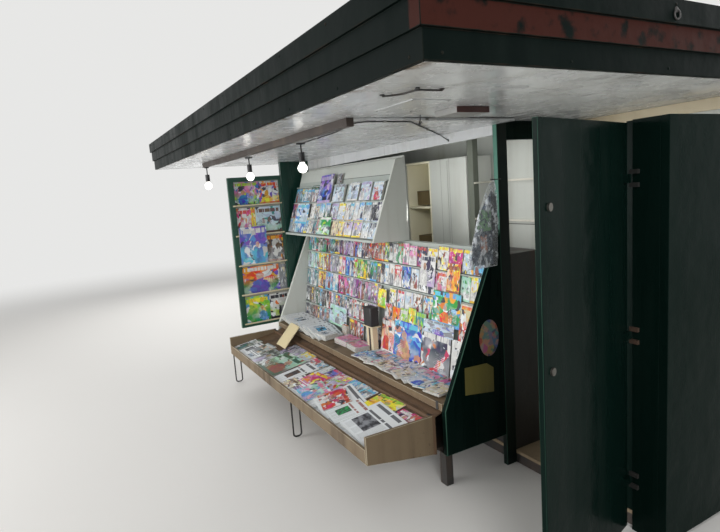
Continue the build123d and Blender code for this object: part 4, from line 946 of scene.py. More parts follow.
picture = times(tree, band(tree, upward, 0.22, 0.60, 0.003), band(tree, from_left, 0.0, 0.42, 0.003))
picture = times(tree, picture, band(tree, across, 0.04, 0.96, 0.004))
toned = between(tree, print_noise(tree, plane, seed, 9.0, 3.0), 0.38, 0.62)
shade = blend_colour(tree, picture, shade, blend_colour(tree, toned, inks[1], INK_BLACK))
coloured(tree, shader, shade)
shader.inputs["Roughness"].default_value = 0.7
news_print = made

made, tree, shader, place = new_material("page_edges")
height = split(tree, place)[2]
leaves = between(tree, maths(tree, "SINE", times(tree, height, 2600.0)), -0.6, 0.6)
coloured(tree, shader, blend_colour(tree, leaves, PAGE_SHADOW, PAGE_EDGE))
shader.inputs["Roughness"].default_value = 0.8
page_edges = made


def stock_tree():
    """Tree that lays a pile of printed sheets on every point and then puts the whole plane in place."""
    inputs = {"Points": "Geometry", "Sheet": "Float", "Slip": "Float", "Bow": "Float", "Seed": "Int",
              "Origin": "Vector", "Lean": "Vector", "Cover": "Material", "Pages": "Material"}
    tree, given = new_tree("printed_stock", inputs, "Stock")

    def kept(label, kind="FLOAT"):
        return add_node(tree, "GeometryNodeInputNamedAttribute", {"Name": label}, data_type=kind).outputs[0]

    def strewn(reach, salt):
        salted = maths(tree, "ADD", given["Seed"], salt)
        made = add_node(tree, "FunctionNodeRandomValue", {2: times(tree, reach, -1.0), 3: reach,
                                                          8: salted}, data_type="FLOAT")
        return made.outputs[1]

    piles = add_node(tree, "GeometryNodeDuplicateElements", {0: given["Points"], 2: kept("sheets", "INT")},
                     domain="POINT")
    rise = maths(tree, "MULTIPLY_ADD", piles.outputs[1], given["Sheet"], kept("rise"))
    shift = add_node(tree, "ShaderNodeCombineXYZ", {0: strewn(given["Slip"], 1),
                                                    1: strewn(given["Slip"], 2), 2: rise})
    laid = add_node(tree, "GeometryNodeSetPosition",
                    {"Geometry": piles.outputs[0], "Offset": shift.outputs[0]})
    cube = add_node(tree, "GeometryNodeMeshCube", {"Size": (1, 1, 1), "Vertices X": 7})
    footed = add_node(tree, "GeometryNodeTransform",
                      {"Geometry": cube.outputs[0], "Translation": (0, 0.5, 0.5)})
    where = add_node(tree, "GeometryNodeInputPosition").outputs[0]
    centred = add_node(tree, "ShaderNodeVectorMath", {0: where, 1: (0.5, 0, 0)}, operation="ADD").outputs[0]
    mapped = add_node(tree, "GeometryNodeStoreNamedAttribute",
                      {"Geometry": footed.outputs[0], "Name": "UVMap", "Value": centred},
                      data_type="FLOAT2", domain="CORNER")
    facing = split(tree, add_node(tree, "GeometryNodeInputNormal").outputs[0])
    edge = add_node(tree, "FunctionNodeCompare", {0: facing[2], 1: 0.5}, operation="LESS_THAN")
    marked = add_node(tree, "GeometryNodeStoreNamedAttribute",
                      {"Geometry": mapped.outputs[0], "Name": "page_side", "Value": edge.outputs[0]},
                      data_type="BOOLEAN", domain="FACE")
    side = split(tree, where)[0]
    swell = maths(tree, "MULTIPLY_ADD", times(tree, side, side), -4.0, 1.0)
    swell = times(tree, swell, maths(tree, "DIVIDE", given["Bow"], given["Sheet"]))
    lift = add_node(tree, "ShaderNodeCombineXYZ", {2: swell}).outputs[0]
    bowed = add_node(tree, "GeometryNodeSetPosition", {"Geometry": marked.outputs[0], "Offset": lift})
    turn = maths(tree, "ADD", kept("turn"), strewn(times(tree, given["Slip"], 6.0), 3))
    angles = add_node(tree, "ShaderNodeCombineXYZ", {0: kept("lean"), 1: kept("fan"), 2: turn})
    sizes = add_node(tree, "ShaderNodeCombineXYZ", {0: kept("wide"), 1: kept("tall"), 2: given["Sheet"]})
    placed = add_node(tree, "GeometryNodeInstanceOnPoints",
                      {"Points": laid.outputs[0], "Instance": bowed.outputs[0],
                       "Rotation": angles.outputs[0], "Scale": sizes.outputs[0]})
    whole = add_node(tree, "GeometryNodeRealizeInstances", {"Geometry": placed.outputs[0]})
    stood = add_node(tree, "GeometryNodeTransform",
                     {"Geometry": whole.outputs[0], "Translation": given["Origin"],
                      "Rotation": given["Lean"]})
    covered = add_node(tree, "GeometryNodeSetMaterial",
                       {"Geometry": stood.outputs[0], "Material": given["Cover"]})
    paged = add_node(tree, "GeometryNodeSetMaterial", {"Geometry": covered.outputs[0],
                                                       "Selection": kept("page_side", "BOOLEAN"),
                                                       "Material": given["Pages"]})
    add_node(tree, "NodeGroupOutput", {0: paged.outputs[0]})
    return tree


printed_stock = stock_tree()
STOCK_FIELDS = {"wide": 0.1, "tall": 0.1, "rise": 0.0, "lean": 0.0, "fan": 0.0, "turn": 0.0}


def goods(x, y, wide, tall, inks, **more):
    """One pile in a plane: the middle of its foot, its size and its inks, the last at its foot."""
    return {"x": x, "y": y, "wide": wide, "tall": tall, "inks": inks.split(), **more}


def run_of(dice, start, end, pitch, foot, tall, inks, **more):
    """Row of goods from start to end, overlapping like tiles, with their inks taken by chance."""
    names = inks.split()
    row = []
    count = max(1, round((end - start) / pitch))
    wide = max(0.105, pitch * 1.02)
    for index in range(count):
        chosen = [dice.choice(names), dice.choice(names + ["grey", "white", "brick", "navy"]),
                  dice.choice(names + ["white", "red", "yellow", "sky"]), dice.choice(names + ["white"])]
        middle = start + (index + 0.5) * (end - start) / count
        fan = math.asin(min(0.5, 0.0042 / pitch)) if pitch < wide else 0.0
        row.append({"x": middle, "y": foot, "wide": wide * dice.uniform(0.94, 1.0),
                    "tall": tall * dice.uniform(0.88, 1.0), "inks": chosen, "fan": -fan,
                    "turn": dice.uniform(-0.02, 0.02), **more})
    return row


def stock(name, body, pieces, origin, lean, cover, sheet=0.003, slip=0.0, bow=0.0):
    """Sets out piles in a plane that starts at origin and is turned by lean."""
    dice = random.Random(name)
    points = [(piece["x"], piece["y"], 0) for piece in pieces]
    attributes = {label: ("FLOAT", "value", [piece.get(label, usual) for piece in pieces])
                  for label, usual in STOCK_FIELDS.items()}
    attributes["sheets"] = ("INT", "value", [piece.get("sheets", 1) for piece in pieces])
    attributes["print_seed"] = ("FLOAT", "value",
                                [piece.get("seed", dice.uniform(0, 90)) for piece in pieces])
    for place, label in enumerate(INK_FIELDS):
        chosen = [(piece["inks"] + piece["inks"][:1])[place] for piece in pieces]
        attributes[label] = ("FLOAT_COLOR", "color", [part for ink in chosen for part in (*INKS[ink], 1)])
    made = grown(name, points, attributes, printed_stock,
                 {"Sheet": sheet, "Slip": slip, "Bow": bow, "Seed": len(pieces), "Origin": origin,
                  "Lean": lean, "Cover": cover, "Pages": page_edges})
    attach(made, body)
    return made


# Display stock: comics and magazines standing on the ledges against the leaning board, tiled over
# each other at the far end, with the large ones in front of them near the entry.
BOARD_FOOT = (0.518, 0.120)
BOARD_HEAD = (1.385, 0.250)
LEDGE_HEIGHTS = (0.691, 0.865, 1.038, 1.212)
board_run = math.dist(BOARD_FOOT, BOARD_HEAD)
board_lean = math.atan2(BOARD_HEAD[0] - BOARD_FOOT[0], BOARD_HEAD[1] - BOARD_FOOT[1])


def up_board(height):
    """Distance up the leaning board to a height above ground."""
    return (height - BOARD_FOOT[0]) * board_run / (BOARD_HEAD[0] - BOARD_FOOT[0])


LEDGE_STAND = 0.010
FOOT_GAP = 0.002
dice = random.Random(61)
row_feet = [up_board(height) + FOOT_GAP for height in LEDGE_HEIGHTS]
display = []
DISPLAY_ROWS = (
    (row_feet[3], 0.158, LEDGE_STAND, 3, (
        (-1.58, -1.02, 0.045, "forest green teal brown black"),
        (-1.02, -0.66, 0.050, "grey purple navy lilac"), (-0.66, -0.50, 0.080, "sky blue teal"),
        (-0.50, -0.14, 0.052, "brown brick orange brown"),
        (-0.14, 0.12, 0.065, "green white black grey"), (0.12, 0.32, 0.10, "pink white pink"),
        (0.32, 0.56, 0.12, "purple navy white"), (0.56, 0.68, 0.12, "white pink"),
        (0.68, 0.82, 0.14, "magenta red"), (0.82, 1.04, 0.11, "white sky ice"))),
    (row_feet[2], 0.170, LEDGE_STAND, 3, (
        (-1.58, -1.40, 0.045, "grey ice mint"), (-1.40, -1.10, 0.045, "cream yellow mint brick"),
        (-1.10, -0.92, 0.050, "grey lilac white"), (-0.92, -0.78, 0.06, "pink white"),
        (-0.78, -0.62, 0.07, "blue sky navy"), (-0.62, -0.24, 0.055, "lime green yellow forest"),
        (-0.24, -0.06, 0.07, "grey white black"), (-0.06, 0.14, 0.10, "white red white"),
        (0.14, 0.26, 0.12, "navy blue"), (0.26, 0.46, 0.10, "sky white ice"),
        (0.46, 0.68, 0.11, "white pink white"), (0.83, 1.04, 0.07, "mint white green"))),
    (row_feet[1], 0.170, LEDGE_STAND, 3, (
        (-1.58, -1.34, 0.045, "grey teal ice"), (-1.34, -1.18, 0.05, "brick yellow orange"),
        (-1.18, -0.92, 0.05, "white lilac sky"), (-0.92, -0.68, 0.055, "red pink navy magenta"),
        (-0.68, -0.16, 0.050, "purple grey lilac black pink"), (-0.02, 0.20, 0.10, "white sky"),
        (0.20, 0.42, 0.11, "white ice"), (0.42, 0.56, 0.12, "mint green cream"))),
    (row_feet[0], 0.168, LEDGE_STAND, 3, (
        (-1.58, -1.04, 0.048, "grey forest black brown"),
        (-1.04, -0.18, 0.046, "grey white lilac black"))),
    (row_feet[0], 0.222, 0.0275, 1, (
        (-0.05, 0.06, 0.11, "white red white"), (0.06, 0.17, 0.11, "white orange yellow"),
        (0.17, 0.37, 0.10, "white yellow lime"), (0.37, 0.49, 0.12, "sky teal lime"))),
    (FOOT_GAP, 0.165, LEDGE_STAND, 3, (
        (-1.58, -1.02, 0.050, "brown grey black brick"), (-0.62, -0.40, 0.055, "brick brown red"),
        (-0.16, -0.06, 0.10, "pink brown white"))),
)
for foot, tall, rise, sheets, runs in DISPLAY_ROWS:
    for start, end, pitch, inks in runs:
        display += run_of(dice, start, end, pitch, foot, tall, inks, rise=rise, sheets=sheets)
display += [
    goods(0.755, row_feet[2] + 0.035, 0.130, 0.195, "orange yellow brick orange", rise=0.028, seed=4.0),
    goods(0.475, row_feet[2] + 0.050, 0.165, 0.210, "white white navy lilac", rise=0.028, seed=17.0),
    goods(-0.10, row_feet[1] - 0.015, 0.120, 0.150, "yellow lime yellow", rise=0.028, seed=7.0),
    goods(0.705, row_feet[1] - 0.012, 0.290, 0.225, "green orange sky green", rise=0.030, seed=12.5),
    goods(0.935, row_feet[1] - 0.010, 0.165, 0.170, "cream red orange brick", rise=0.029, seed=22.0),
    goods(0.900, row_feet[0] + 0.050, 0.110, 0.185, "red white red", rise=0.0275, seed=48.0),
    goods(0.640, row_feet[0] + 0.090, 0.330, 0.088, "ice violet grey", rise=0.034, seed=31.0),
    goods(-0.84, 0.055, 0.34, 0.180, "ice grey mint", rise=0.028, seed=3.0),
    goods(0.02, 0.004, 0.180, 0.262, "peach red white", rise=0.030, seed=16.0),
    goods(0.285, 0.004, 0.345, 0.282, "blue skin sky blue", rise=0.031, seed=18.0),
    goods(0.625, 0.004, 0.315, 0.282, "navy red white grey", rise=0.032, seed=26.0),
    goods(0.875, 0.004, 0.165, 0.268, "white grey white", rise=0.029, seed=27.0),
]
stock("display_stock", "root", display, (0, BOARD_FOOT[1], BOARD_FOOT[0]),
      (board_lean, 0, 0), cover_print, 0.0028, 0.0, 0.0015)

# Upper rack stock: magazines and part-works in clear wrap, standing on the rack's ledges, with one
# tall violet folder at the middle.
RACK_FOOT = (1.395, 0.020)
RACK_HEAD = (1.995, 0.218)
RACK_HEIGHTS = (1.413, 1.545, 1.695, 1.845)
rack_run = math.dist(RACK_FOOT, RACK_HEAD)
rack_lean = math.atan2(RACK_HEAD[0] - RACK_FOOT[0], RACK_HEAD[1] - RACK_FOOT[1])
rack_feet = [(height - RACK_FOOT[0]) * rack_run / (RACK_HEAD[0] - RACK_FOOT[0]) + FOOT_GAP
             for height in RACK_HEIGHTS]
dice = random.Random(17)
rack = []
for start, end, pitch, foot, tall, inks in (
        (-1.60, -1.50, 0.034, 0, 0.154, "brick purple grey"),
        (-1.50, -1.345, 0.078, 0, 0.154, "ice sky white"),
        (-1.345, -1.18, 0.082, 0, 0.151, "blue navy sky"),
        (-1.18, -1.07, 0.055, 0, 0.151, "grey cream white"),
        (-1.07, -0.92, 0.075, 0, 0.148, "navy teal grey"),
        (-0.665, -0.44, 0.115, 0, 0.154, "cream white cream"),
        (-0.44, -0.135, 0.15, 0, 0.151, "white lilac ice"),
        (-0.135, 0.08, 0.11, 0, 0.151, "white grey ice"),
        (-1.60, -1.50, 0.050, 1, 0.156, "grey purple brick"),
        (-1.17, -0.98, 0.095, 1, 0.157, "cream white grey"),
        (-0.98, -0.76, 0.11, 1, 0.157, "ice sky forest"),
        (-0.74, -0.47, 0.135, 1, 0.156, "white ice lilac"),
        (-0.47, -0.34, 0.065, 1, 0.156, "black white grey"),
        (-0.34, -0.16, 0.09, 1, 0.157, "white grey ice"),
        (-0.16, -0.05, 0.11, 1, 0.155, "white ice grey"),
        (-0.05, 0.08, 0.065, 1, 0.155, "navy white black"),
        (-1.60, -1.42, 0.060, 2, 0.150, "grey ice teal"),
        (-1.42, -1.18, 0.080, 2, 0.138, "cream grey white"),
        (-1.18, -1.05, 0.065, 2, 0.125, "ice white grey")):
    rack += run_of(dice, start, end, pitch, rack_feet[foot], tall, inks, rise=0.009, sheets=3)
rack += [
    goods(-1.345, rack_feet[0] + 0.085, 0.290, 0.195, "ice white sky", rise=0.022, seed=44.0),
    goods(-0.795, rack_feet[0], 0.235, 0.155, "green lime white mint", rise=0.022, seed=51.0),
    goods(-0.905, rack_feet[2] - 0.016, 0.255, 0.255, "violet navy lilac blue", rise=0.024, sheets=4,
          seed=11.0, turn=0.03),
    goods(-0.700, rack_feet[3], 0.090, 0.085, "grey brown grey", rise=0.009, sheets=3, seed=8.0),
    goods(-1.180, rack_feet[2] + 0.110, 0.200, 0.050, "forest teal forest", rise=0.004, seed=9.0),
    goods(-0.650, rack_feet[2] - 0.02, 0.205, 0.165, "ice white grey", rise=0.010, sheets=5, seed=40.0,
          turn=0.02),
    goods(-0.390, rack_feet[2], 0.170, 0.150, "ice grey white", rise=0.010, sheets=5, seed=41.0),
    goods(-0.190, rack_feet[2], 0.165, 0.150, "ice white lilac", rise=0.010, sheets=5, seed=42.0),
    goods(-0.005, rack_feet[2], 0.145, 0.140, "ice red white", rise=0.010, sheets=5, seed=43.0),
]
stock("rack_stock", "root", rack, (0, RACK_FOOT[1], RACK_FOOT[0]), (rack_lean, 0, 0),
      cover_print, 0.0028, 0.0, 0.0018)

# Counter stock: folded papers shingled along the far half, three pink bundles by the pay box, and
# loose magazines fanned over the near half.
COUNTER_TOP = 0.518
PAPER_TILT = 0.20
FOLDED_PAPERS = 17
PAPERS_FROM_X = -1.485
PAPER_PITCH = 0.043
REAR_INKS = ("white sky navy blue", "ice blue white", "pink lilac sky white", "magenta navy white",
             "sky cream white blue", "white teal pink ice")
FRONT_INKS = ("white pink magenta", "white blue sky", "sky white navy white", "cream black white",
              "lilac yellow white", "white grey pink")
dice = random.Random(5)
papers = []
for index in range(FOLDED_PAPERS):
    wide = dice.uniform(0.215, 0.235)
    foot = -0.160 + dice.uniform(-0.012, 0.012)
    tall = dice.uniform(0.23, 0.25)
    inks = "white ice grey" if index % 4 else "ice sky grey"
    papers.append(goods(PAPERS_FROM_X + index * PAPER_PITCH, foot, wide, tall, inks, sheets=5 + index % 2,
                        rise=wide / 2 * math.sin(PAPER_TILT) - 0.010, fan=PAPER_TILT,
                        turn=dice.uniform(-0.05, 0.05)))
papers.append(goods(-0.715, -0.135, 0.17, 0.13, "white ice grey", sheets=9, turn=0.12))
stock("counter_papers", "root", papers, (0, 0, COUNTER_TOP + 0.002), (0, 0, 0), news_print,
      0.0048, 0.004, 0.0)
bundles = [goods(-0.44, -0.080, 0.19, 0.150, "pink magenta pink", sheets=9, turn=0.05),
           goods(-0.245, -0.085, 0.17, 0.150, "magenta pink white", sheets=8, turn=-0.08),
           goods(-0.66, 0.075, 0.085, 0.030, "orange peach orange", sheets=20)]
fanned = []
for index in range(12):
    fanned.append(goods(-0.03 + index * 0.088, -0.055 + dice.uniform(-0.02, 0.02), 0.15, 0.155,
                        dice.choice(REAR_INKS), sheets=3 + index % 3, turn=dice.uniform(-0.30, 0.30)))
for index in range(10):
    fanned.append(goods(-0.02 + index * 0.104, -0.158 + dice.uniform(-0.004, 0.01), 0.14, 0.145,
                        dice.choice(FRONT_INKS), rise=0.010, sheets=2 + index % 2,
                        turn=dice.uniform(-0.35, 0.35)))
stock("counter_magazines", "root", bundles + fanned, (0, 0, COUNTER_TOP + 0.001), (0, 0, 0),
      cover_print, 0.0048, 0.003, 0.0)

# Tray stock: newspapers and magazines lying on the leaning deck behind the front lip, in one layer
# that overlaps here and there. They ride out and in with the tray.
TRAY_FRONT = (-0.698, 0.352)
TRAY_REAR = (-0.229, 0.430)
deck_lean = math.atan2(TRAY_REAR[1] - TRAY_FRONT[1], TRAY_REAR[0] - TRAY_FRONT[0])
TRAY_INSET = 0.030
PAPER_FOOT = 0.024
tray_covers = []
for start, end, pitch, inks in (
        (-1.02, -0.74, 0.14, "grey navy lilac"), (-0.74, -0.55, 0.19, "mint white ice"),
        (-0.55, -0.38, 0.17, "navy grey black"), (-0.38, -0.17, 0.10, "ice white sky"),
        (-0.17, -0.03, 0.14, "magenta orange violet"), (-0.03, 0.13, 0.10, "lilac pink white"),
        (0.13, 0.36, 0.12, "sky blue teal"), (0.36, 0.47, 0.11, "pink grey white"),
        (0.80, 1.01, 0.13, "purple magenta brick")):
    tray_covers += run_of(random.Random(start), start, end, pitch, 0.265, 0.185, inks, rise=0.0)
tray_covers += [
    goods(-1.480, 0.022, 0.10, 0.25, "forest teal white"),
    goods(-1.220, 0.10, 0.20, 0.20, "grey peach white", turn=0.06),
    goods(-1.010, 0.03, 0.20, 0.25, "grey lilac black", turn=-0.04),
    goods(-0.700, 0.03, 0.38, 0.30, "mint brick forest brown", turn=0.03, rise=0.004),
    goods(-0.235, 0.022, 0.17, 0.12, "brown cream cream", turn=-0.03, rise=0.006),
    goods(-0.130, 0.15, 0.22, 0.17, "magenta orange yellow", turn=0.10, rise=0.004),
    goods(0.035, 0.045, 0.24, 0.20, "mint sky pink lilac", turn=-0.12, rise=0.006),
    goods(0.110, 0.19, 0.18, 0.17, "lilac red lime", turn=0.16, rise=0.004),
    goods(0.270, 0.09, 0.24, 0.20, "red white red", turn=-0.26, rise=0.009, seed=5.0),
    goods(0.650, 0.29, 0.27, 0.165, "yellow black lime", turn=0.08, rise=0.004, seed=9.0),
]
stock("tray_magazines", "tray", [dict(piece, sheets=2) for piece in tray_covers],
      (0, TRAY_FRONT[0], TRAY_FRONT[1] + 0.001), (deck_lean, 0, 0), cover_print, 0.0026, 0.002, 0.0)
tray_papers = [goods(x, PAPER_FOOT, wide, 0.20, "white grey black")
               for x, wide in ((-0.93, 0.36), (-0.25, 0.30), (0.12, 0.36), (0.47, 0.40), (0.84, 0.36))]
tray_papers += [
    goods(-1.550, TRAY_INSET, 0.09, 0.22, "white grey black"),
    goods(-1.340, TRAY_INSET, 0.20, 0.22, "white grey black", turn=0.05),
    goods(-1.180, TRAY_INSET, 0.24, 0.10, "white ice black", turn=0.02, rise=0.004),
    goods(-0.400, TRAY_INSET, 0.19, 0.32, "white brown black", turn=-0.03, rise=0.003),
    goods(-0.060, TRAY_INSET, 0.40, 0.13, "white lilac magenta", turn=0.02, rise=0.005),
    goods(0.310, 0.056, 0.38, 0.30, "white mint black", turn=-0.18, rise=0.004),
    goods(0.505, 0.045, 0.20, 0.25, "mint green brick", turn=-0.14, rise=0.007),
    goods(0.790, 0.047, 0.45, 0.31, "white grey black", turn=-0.09, rise=0.006, seed=14.0),
]
stock("tray_papers", "tray", [dict(piece, sheets=2) for piece in tray_papers],
      (0, TRAY_FRONT[0], TRAY_FRONT[1] + 0.0005), (deck_lean, 0, 0), news_print, 0.0024, 0.002, 0.0)

# Leaning board: a cream card, slightly bowed, that leans from the papers on the tray up to the
# counter's front edge.
CARD_FOOT = Vector((-1.080, -0.375, 0.419))
CARD_HEAD = Vector((-1.195, -0.172, 0.560))
CARD_WIDE = 0.21
CARD_BOW = 0.014
CARD_THICK = 0.006
CARD_CREAM = (0.66, 0.56, 0.34, 1)
card_finish = paint("card_finish", CARD_CREAM, CREAM, 0.6, 0.35, 0.05)
made = slab("leaning_card", (-0.5, -0.5, 0), (0.5, 0.5, CARD_THICK), "root", card_finish, 0)
shape = bmesh.new()
shape.from_mesh(made.data)
bmesh.ops.subdivide_edges(shape, edges=shape.edges[:], cuts=7, use_grid_fill=True)
lengthwise = CARD_HEAD - CARD_FOOT
square = lengthwise.cross(Vector((1, 0, 0))).normalized()
square *= math.copysign(1, square.z)
card_middle = (CARD_FOOT + CARD_HEAD) / 2
for vert in shape.verts:
    bowed = vert.co.z + CARD_BOW * math.cos(math.pi * vert.co.y)
    aside = Vector((CARD_WIDE * vert.co.y, 0, 0))
    vert.co = card_middle + lengthwise * vert.co.x + aside + square * bowed
bmesh.ops.recalc_face_normals(shape, faces=shape.faces[:])
shape.to_mesh(made.data)
shape.free()
made.data.shade_smooth()
made.data.set_sharp_from_angle(angle=math.radians(40))

# Stuck-on bits of the near side panel: an oval sticker of plain colour patches, and a blank yellow
# card curling at its top.
PANEL_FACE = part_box("display_side_near")[1].x
OVAL_MIDDLE = (0.167, 0.857)
OVAL_REACH = (0.076, 0.112)
OVAL_SIDES = 40
OVAL_TAN = (0.24, 0.13, 0.05, 1)
OVAL_BRICK = (0.30, 0.06, 0.04, 1)
OVAL_SLATE = (0.04, 0.06, 0.10, 1)
NOTE_YELLOW = (0.125, 0.108, 0.022, 1)
NOTE_GRIME = (0.06, 0.052, 0.018, 1)
NOTE_CORNERS = ((-0.033, 0.545), (0.190, 0.515), (0.192, 0.668), (0.140, 0.705), (-0.030, 0.712))


def sticker(name, outline, finish, lift, face=PANEL_FACE):
    """Thin sheet that lies on an upright face across x, from its outline in y and z."""
    shape = bmesh.new()
    rear = [shape.verts.new((face, y, z)) for y, z in outline]
    front = [shape.verts.new((face + lift, y, z)) for y, z in outline]
    shape.faces.new(front)
    shape.faces.new(rear[::-1])
    for index, corner in enumerate(rear):
        after = (index + 1) % len(rear)
        shape.faces.new((corner, rear[after], front[after], front[index]))
    bmesh.ops.recalc_face_normals(shape, faces=shape.faces[:])
    return shown(name, meshed(name, shape, finish), "root")


oval_outline = []
for index in range(OVAL_SIDES):
    turn = math.tau * index / OVAL_SIDES
    oval_outline.append((OVAL_MIDDLE[0] + OVAL_REACH[0] * math.cos(turn),
                         OVAL_MIDDLE[1] + OVAL_REACH[1] * math.sin(turn)))
made, tree, shader, place = new_material("sticker_print")
cells = add_node(tree, "ShaderNodeTexVoronoi", {"Vector": place, "Scale": 26.0})
warm = blend_colour(tree, between(tree, grain(tree, place, 18.0, 2), 0.42, 0.56), OVAL_TAN, OVAL_BRICK)
cool = blend_colour(tree, between(tree, grain(tree, place, 24.0, 2), 0.5, 0.56), warm, OVAL_SLATE)
coloured(tree, shader, blend_colour(tree, 0.18, cool, cells.outputs["Color"]))
shader.inputs["Roughness"].default_value = 0.4
sticker("oval_sticker", oval_outline, made, 0.0006)
card_paper = paint("card_paper", NOTE_YELLOW, NOTE_GRIME, 1.0, 0.6, 0.1, 20)
sticker("blank_card", NOTE_CORNERS, card_paper, 0.0008)

# Wing rack: a narrow green leaf hinged on the end wall, with five windows behind thin cream rails.
# Its magazines stand in the windows and ride with it.
WING_GREEN = (0.012, 0.062, 0.040, 1)
WING_EDGE_HIGHLIGHT = (0.10, 0.22, 0.16, 1)
WINDOW_FLOOR = -1.7285
WINDOW_FOOT = 0.534
WINDOW_PITCH = 0.294
made, tree, shader, place, shade = painted("wing_enamel", WING_GREEN, FAR_GREEN, 0.8, 0.3, 0.2, 5)
parts = split(tree, place)
backing = between(tree, parts[0], WINDOW_FLOOR, WINDOW_FLOOR + 0.001, 1.0, 0.0)
backing = times(tree, backing, between(tree, parts[0], WINDOW_FLOOR - 0.003, WINDOW_FLOOR - 0.002))
coloured(tree, shader, blend_colour(tree, backing, shade, WALL_AGED))
# Pale green edges: painted highlight along the edges, streaked with wear.
wing_highlight_and_wear = paint("wing_edge_highlight_and_wear", WING_EDGE_HIGHLIGHT, WING_GREEN, 0.7, 0.4, 0.1)
edged("wing_rack", 0.003, made, wing_highlight_and_wear)
edged("wing_rails", 0.0008, cream_paint)
wing = []
for row, pieces in enumerate((
        (goods(-0.350, 0, 0.255, 0.262, "lime sky yellow green", seed=2.0),
         goods(-0.118, 0, 0.205, 0.258, "white orange black lime", seed=33.0)),
        (goods(-0.285, 0, 0.385, 0.268, "orange violet white green", seed=6.0),
         goods(-0.052, 0, 0.075, 0.262, "grey cream grey", seed=19.0)),
        (goods(-0.338, 0, 0.275, 0.375, "violet sky white sky", seed=21.0, rise=0.016, lean=0.075),
         goods(-0.110, 0, 0.185, 0.268, "brown white orange grey", seed=29.0)),
        (goods(-0.400, 0, 0.145, 0.268, "white pink red", seed=13.0),
         goods(-0.305, 0, 0.045, 0.266, "yellow lime orange"),
         goods(-0.150, 0, 0.265, 0.266, "ice teal brown mint", seed=15.0)),
        (goods(-0.350, 0, 0.250, 0.224, "pink blue lime green", seed=10.0),
         goods(-0.122, 0, 0.210, 0.222, "white violet orange yellow", seed=37.0)))):
    wing += [dict(piece, y=WINDOW_FOOT + row * WINDOW_PITCH + 0.003) for piece in pieces]
stock("wing_stock", "wing", [dict(piece, sheets=2) for piece in wing], (WINDOW_FLOOR, 0, 0),
      (math.pi / 2, 0, math.pi / 2), cover_print, 0.0035, 0.0, 0.002)

# Entry door: a green sheet leaf with stiles and rails of folded steel, screwed on, and two locks on
# its free edge.
LOCK_GREY = (0.15, 0.145, 0.13, 1)
LOCK_WORN = (0.07, 0.06, 0.05, 1)
edged("door_leaf", 0.0008, body_enamel)
# The stiles and rails take the pale edges of painted highlight.
for node in ("door_stiles", "door_rails"):
    edged(node, 0.0015, body_enamel, edge_highlight_and_wear)
made, tree, shader, place, shade = painted("lock_metal", LOCK_GREY, LOCK_WORN, 0.8, 0.34, 0.08)
shader.inputs["Metallic"].default_value = 0.9
edged("door_locks", 0, made, round_from=40)

# Bag: a clear film bag of magazines that hangs by its gathered neck from a wire hook on the display
# post. It hangs straight at the rear and runs out to the front, and its film is badly crumpled, with
# white patches painted along the crumples as highlights.
HOOK_WIRE = 0.0028
BAG_ROWS = 40
BAG_COLUMNS = 36
FILM_WHITE_AND_GLARE = (0.90, 0.95, 1.0, 1)
BAG_NAVY = (0.032, 0.045, 0.070, 1)
BAG_SLATE = (0.150, 0.185, 0.230, 1)
FILM_PAST = 0.025
FILM_BULGE = 0.018
FILM_REAR = 0.016
BAG_REAR_SHADE_FROM = 0.212
BAG_OUTLINE = ((0.050, 1.306), (0.250, 1.300), (0.262, 1.500), (0.256, 1.690), (0.222, 1.730),
               (0.140, 1.620), (0.085, 1.480), (0.060, 1.400))
BAG_PATCHES = ((1.50, 1.625, 0.105, 0.210, (0.22, 0.42, 0.22, 1)),
               (1.375, 1.475, 0.125, 0.175, (0.60, 0.30, 0.22, 1)),
               (1.63, 1.69, 0.13, 0.210, (0.06, 0.12, 0.22, 1)))
bag_low, bag_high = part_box("magazine_bag")
hook_low, hook_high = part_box("bag_hook")
hook_x = hook_high.x - 0.003
hook_y = hook_high.y - 0.003
hook_z = (hook_low.z + hook_high.z) / 2
hook_line = ((hook_low.x, hook_y, hook_z), (hook_x, hook_y, hook_z), (hook_x, 0.235, hook_z),
             (hook_x, 0.222, hook_z), (hook_x, 0.218, hook_high.z))
hook = rod("bag_hook_wire", hook_line, HOOK_WIRE, "root", dark_metal)
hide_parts("bag_hook")
made, tree, shader, place = new_material("clear_film")
shader.inputs["Base Color"].default_value = FILM_WHITE_AND_GLARE
shader.inputs["Roughness"].default_value = 0.10
crumple_and_glare = grain(tree, place, 30.0, 5, (1, 1, 0.55), 0.65)
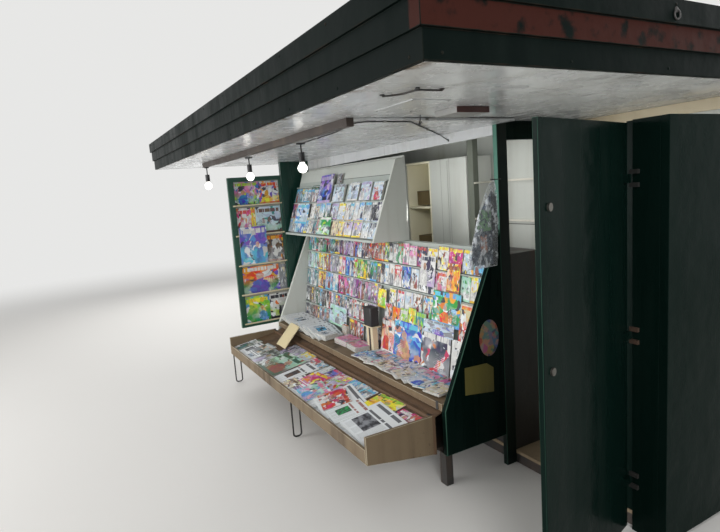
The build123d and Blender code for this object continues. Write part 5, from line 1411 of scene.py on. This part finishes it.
# Painted highlight: the film turns opaque white in patches along the crumples, as glare on them.
tree.links.new(between(tree, crumple_and_glare, 0.51, 0.62, 0.18, 0.88), shader.inputs["Alpha"])
bump = add_node(tree, "ShaderNodeBump", {"Height": crumple_and_glare, "Strength": 1.0, "Distance": 0.03})
tree.links.new(bump.outputs[0], shader.inputs["Normal"])
clear_film = made
shape = bmesh.new()
middle_x = (bag_low.x + bag_high.x) / 2
half_thick = (bag_high.x - bag_low.x) / 2
rings = []
for row in range(BAG_ROWS + 1):
    drop = row / BAG_ROWS
    height = bag_high.z - drop * (bag_high.z - bag_low.z + FILM_PAST)
    front = bag_high.y - 0.004 - (bag_high.y - bag_low.y + FILM_PAST) * min(1.0, 0.05 + drop ** 0.66)
    rear = bag_high.y + 0.002 * math.sin(9 * drop) + FILM_REAR * math.sin(math.pi * min(1.0, drop * 1.05))
    belly = half_thick * (0.45 + 0.50 * math.sin(math.pi * min(1.0, drop * 1.04)))
    if row >= BAG_ROWS - 1:
        belly = half_thick * 0.25
    ring = []
    for column in range(BAG_COLUMNS):
        turn = math.tau * column / BAG_COLUMNS
        side = math.copysign(abs(math.cos(turn)) ** 0.7, math.cos(turn))
        depth = math.copysign(abs(math.sin(turn)) ** 0.7, math.sin(turn))
        crease = noise.noise(Vector((side * 3.4, depth, height * 22)))
        bulge = FILM_BULGE * max(0.0, depth) * math.sin(math.pi * drop) * (1 + crease)
        x = middle_x + bulge + depth * belly * (0.86 + 0.5 * crease * (1 - 0.4 * drop))
        y = (front + rear) / 2 + side * (rear - front) / 2 * (0.97 + 0.05 * crease)
        ring.append(shape.verts.new((x, y, height)))
    rings.append(ring)
for upper, lower in zip(rings, rings[1:]):
    for column in range(BAG_COLUMNS):
        after = (column + 1) % BAG_COLUMNS
        shape.faces.new((upper[column], upper[after], lower[after], lower[column]))
shape.faces.new(rings[0])
shape.faces.new(rings[-1][::-1])
bmesh.ops.recalc_face_normals(shape, faces=shape.faces[:])
mesh = meshed("magazine_bag_film", shape, clear_film)
mesh.shade_smooth()
bag = shown("magazine_bag_film", mesh, "root")
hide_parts("magazine_bag")
made, tree, shader, place = new_material("bag_print")
parts = split(tree, place)
shade = blend_colour(tree, between(tree, grain(tree, place, 40.0, 3), 0.42, 0.58), BAG_NAVY, BAG_SLATE)
# Painted shade: the rear strip of the contents, from a depth on, is darkened nearly to black.
rear_shade = between(tree, parts[1], BAG_REAR_SHADE_FROM, BAG_REAR_SHADE_FROM + 0.006, 0.0, 0.85)
shade = blend_colour(tree, rear_shade, shade, LAMP_BLACK)
for low, high, front, rear, ink in BAG_PATCHES:
    patch = times(tree, band(tree, parts[2], low, high, 0.006), band(tree, parts[1], front, rear, 0.006))
    patch = times(tree, patch, between(tree, grain(tree, place, 46.0, 4), 0.40, 0.50))
    shade = blend_colour(tree, patch, shade, ink)
coloured(tree, shader, shade)
shader.inputs["Roughness"].default_value = 0.3
sticker("bag_contents", BAG_OUTLINE, made, 0.003, middle_x - 0.0015)
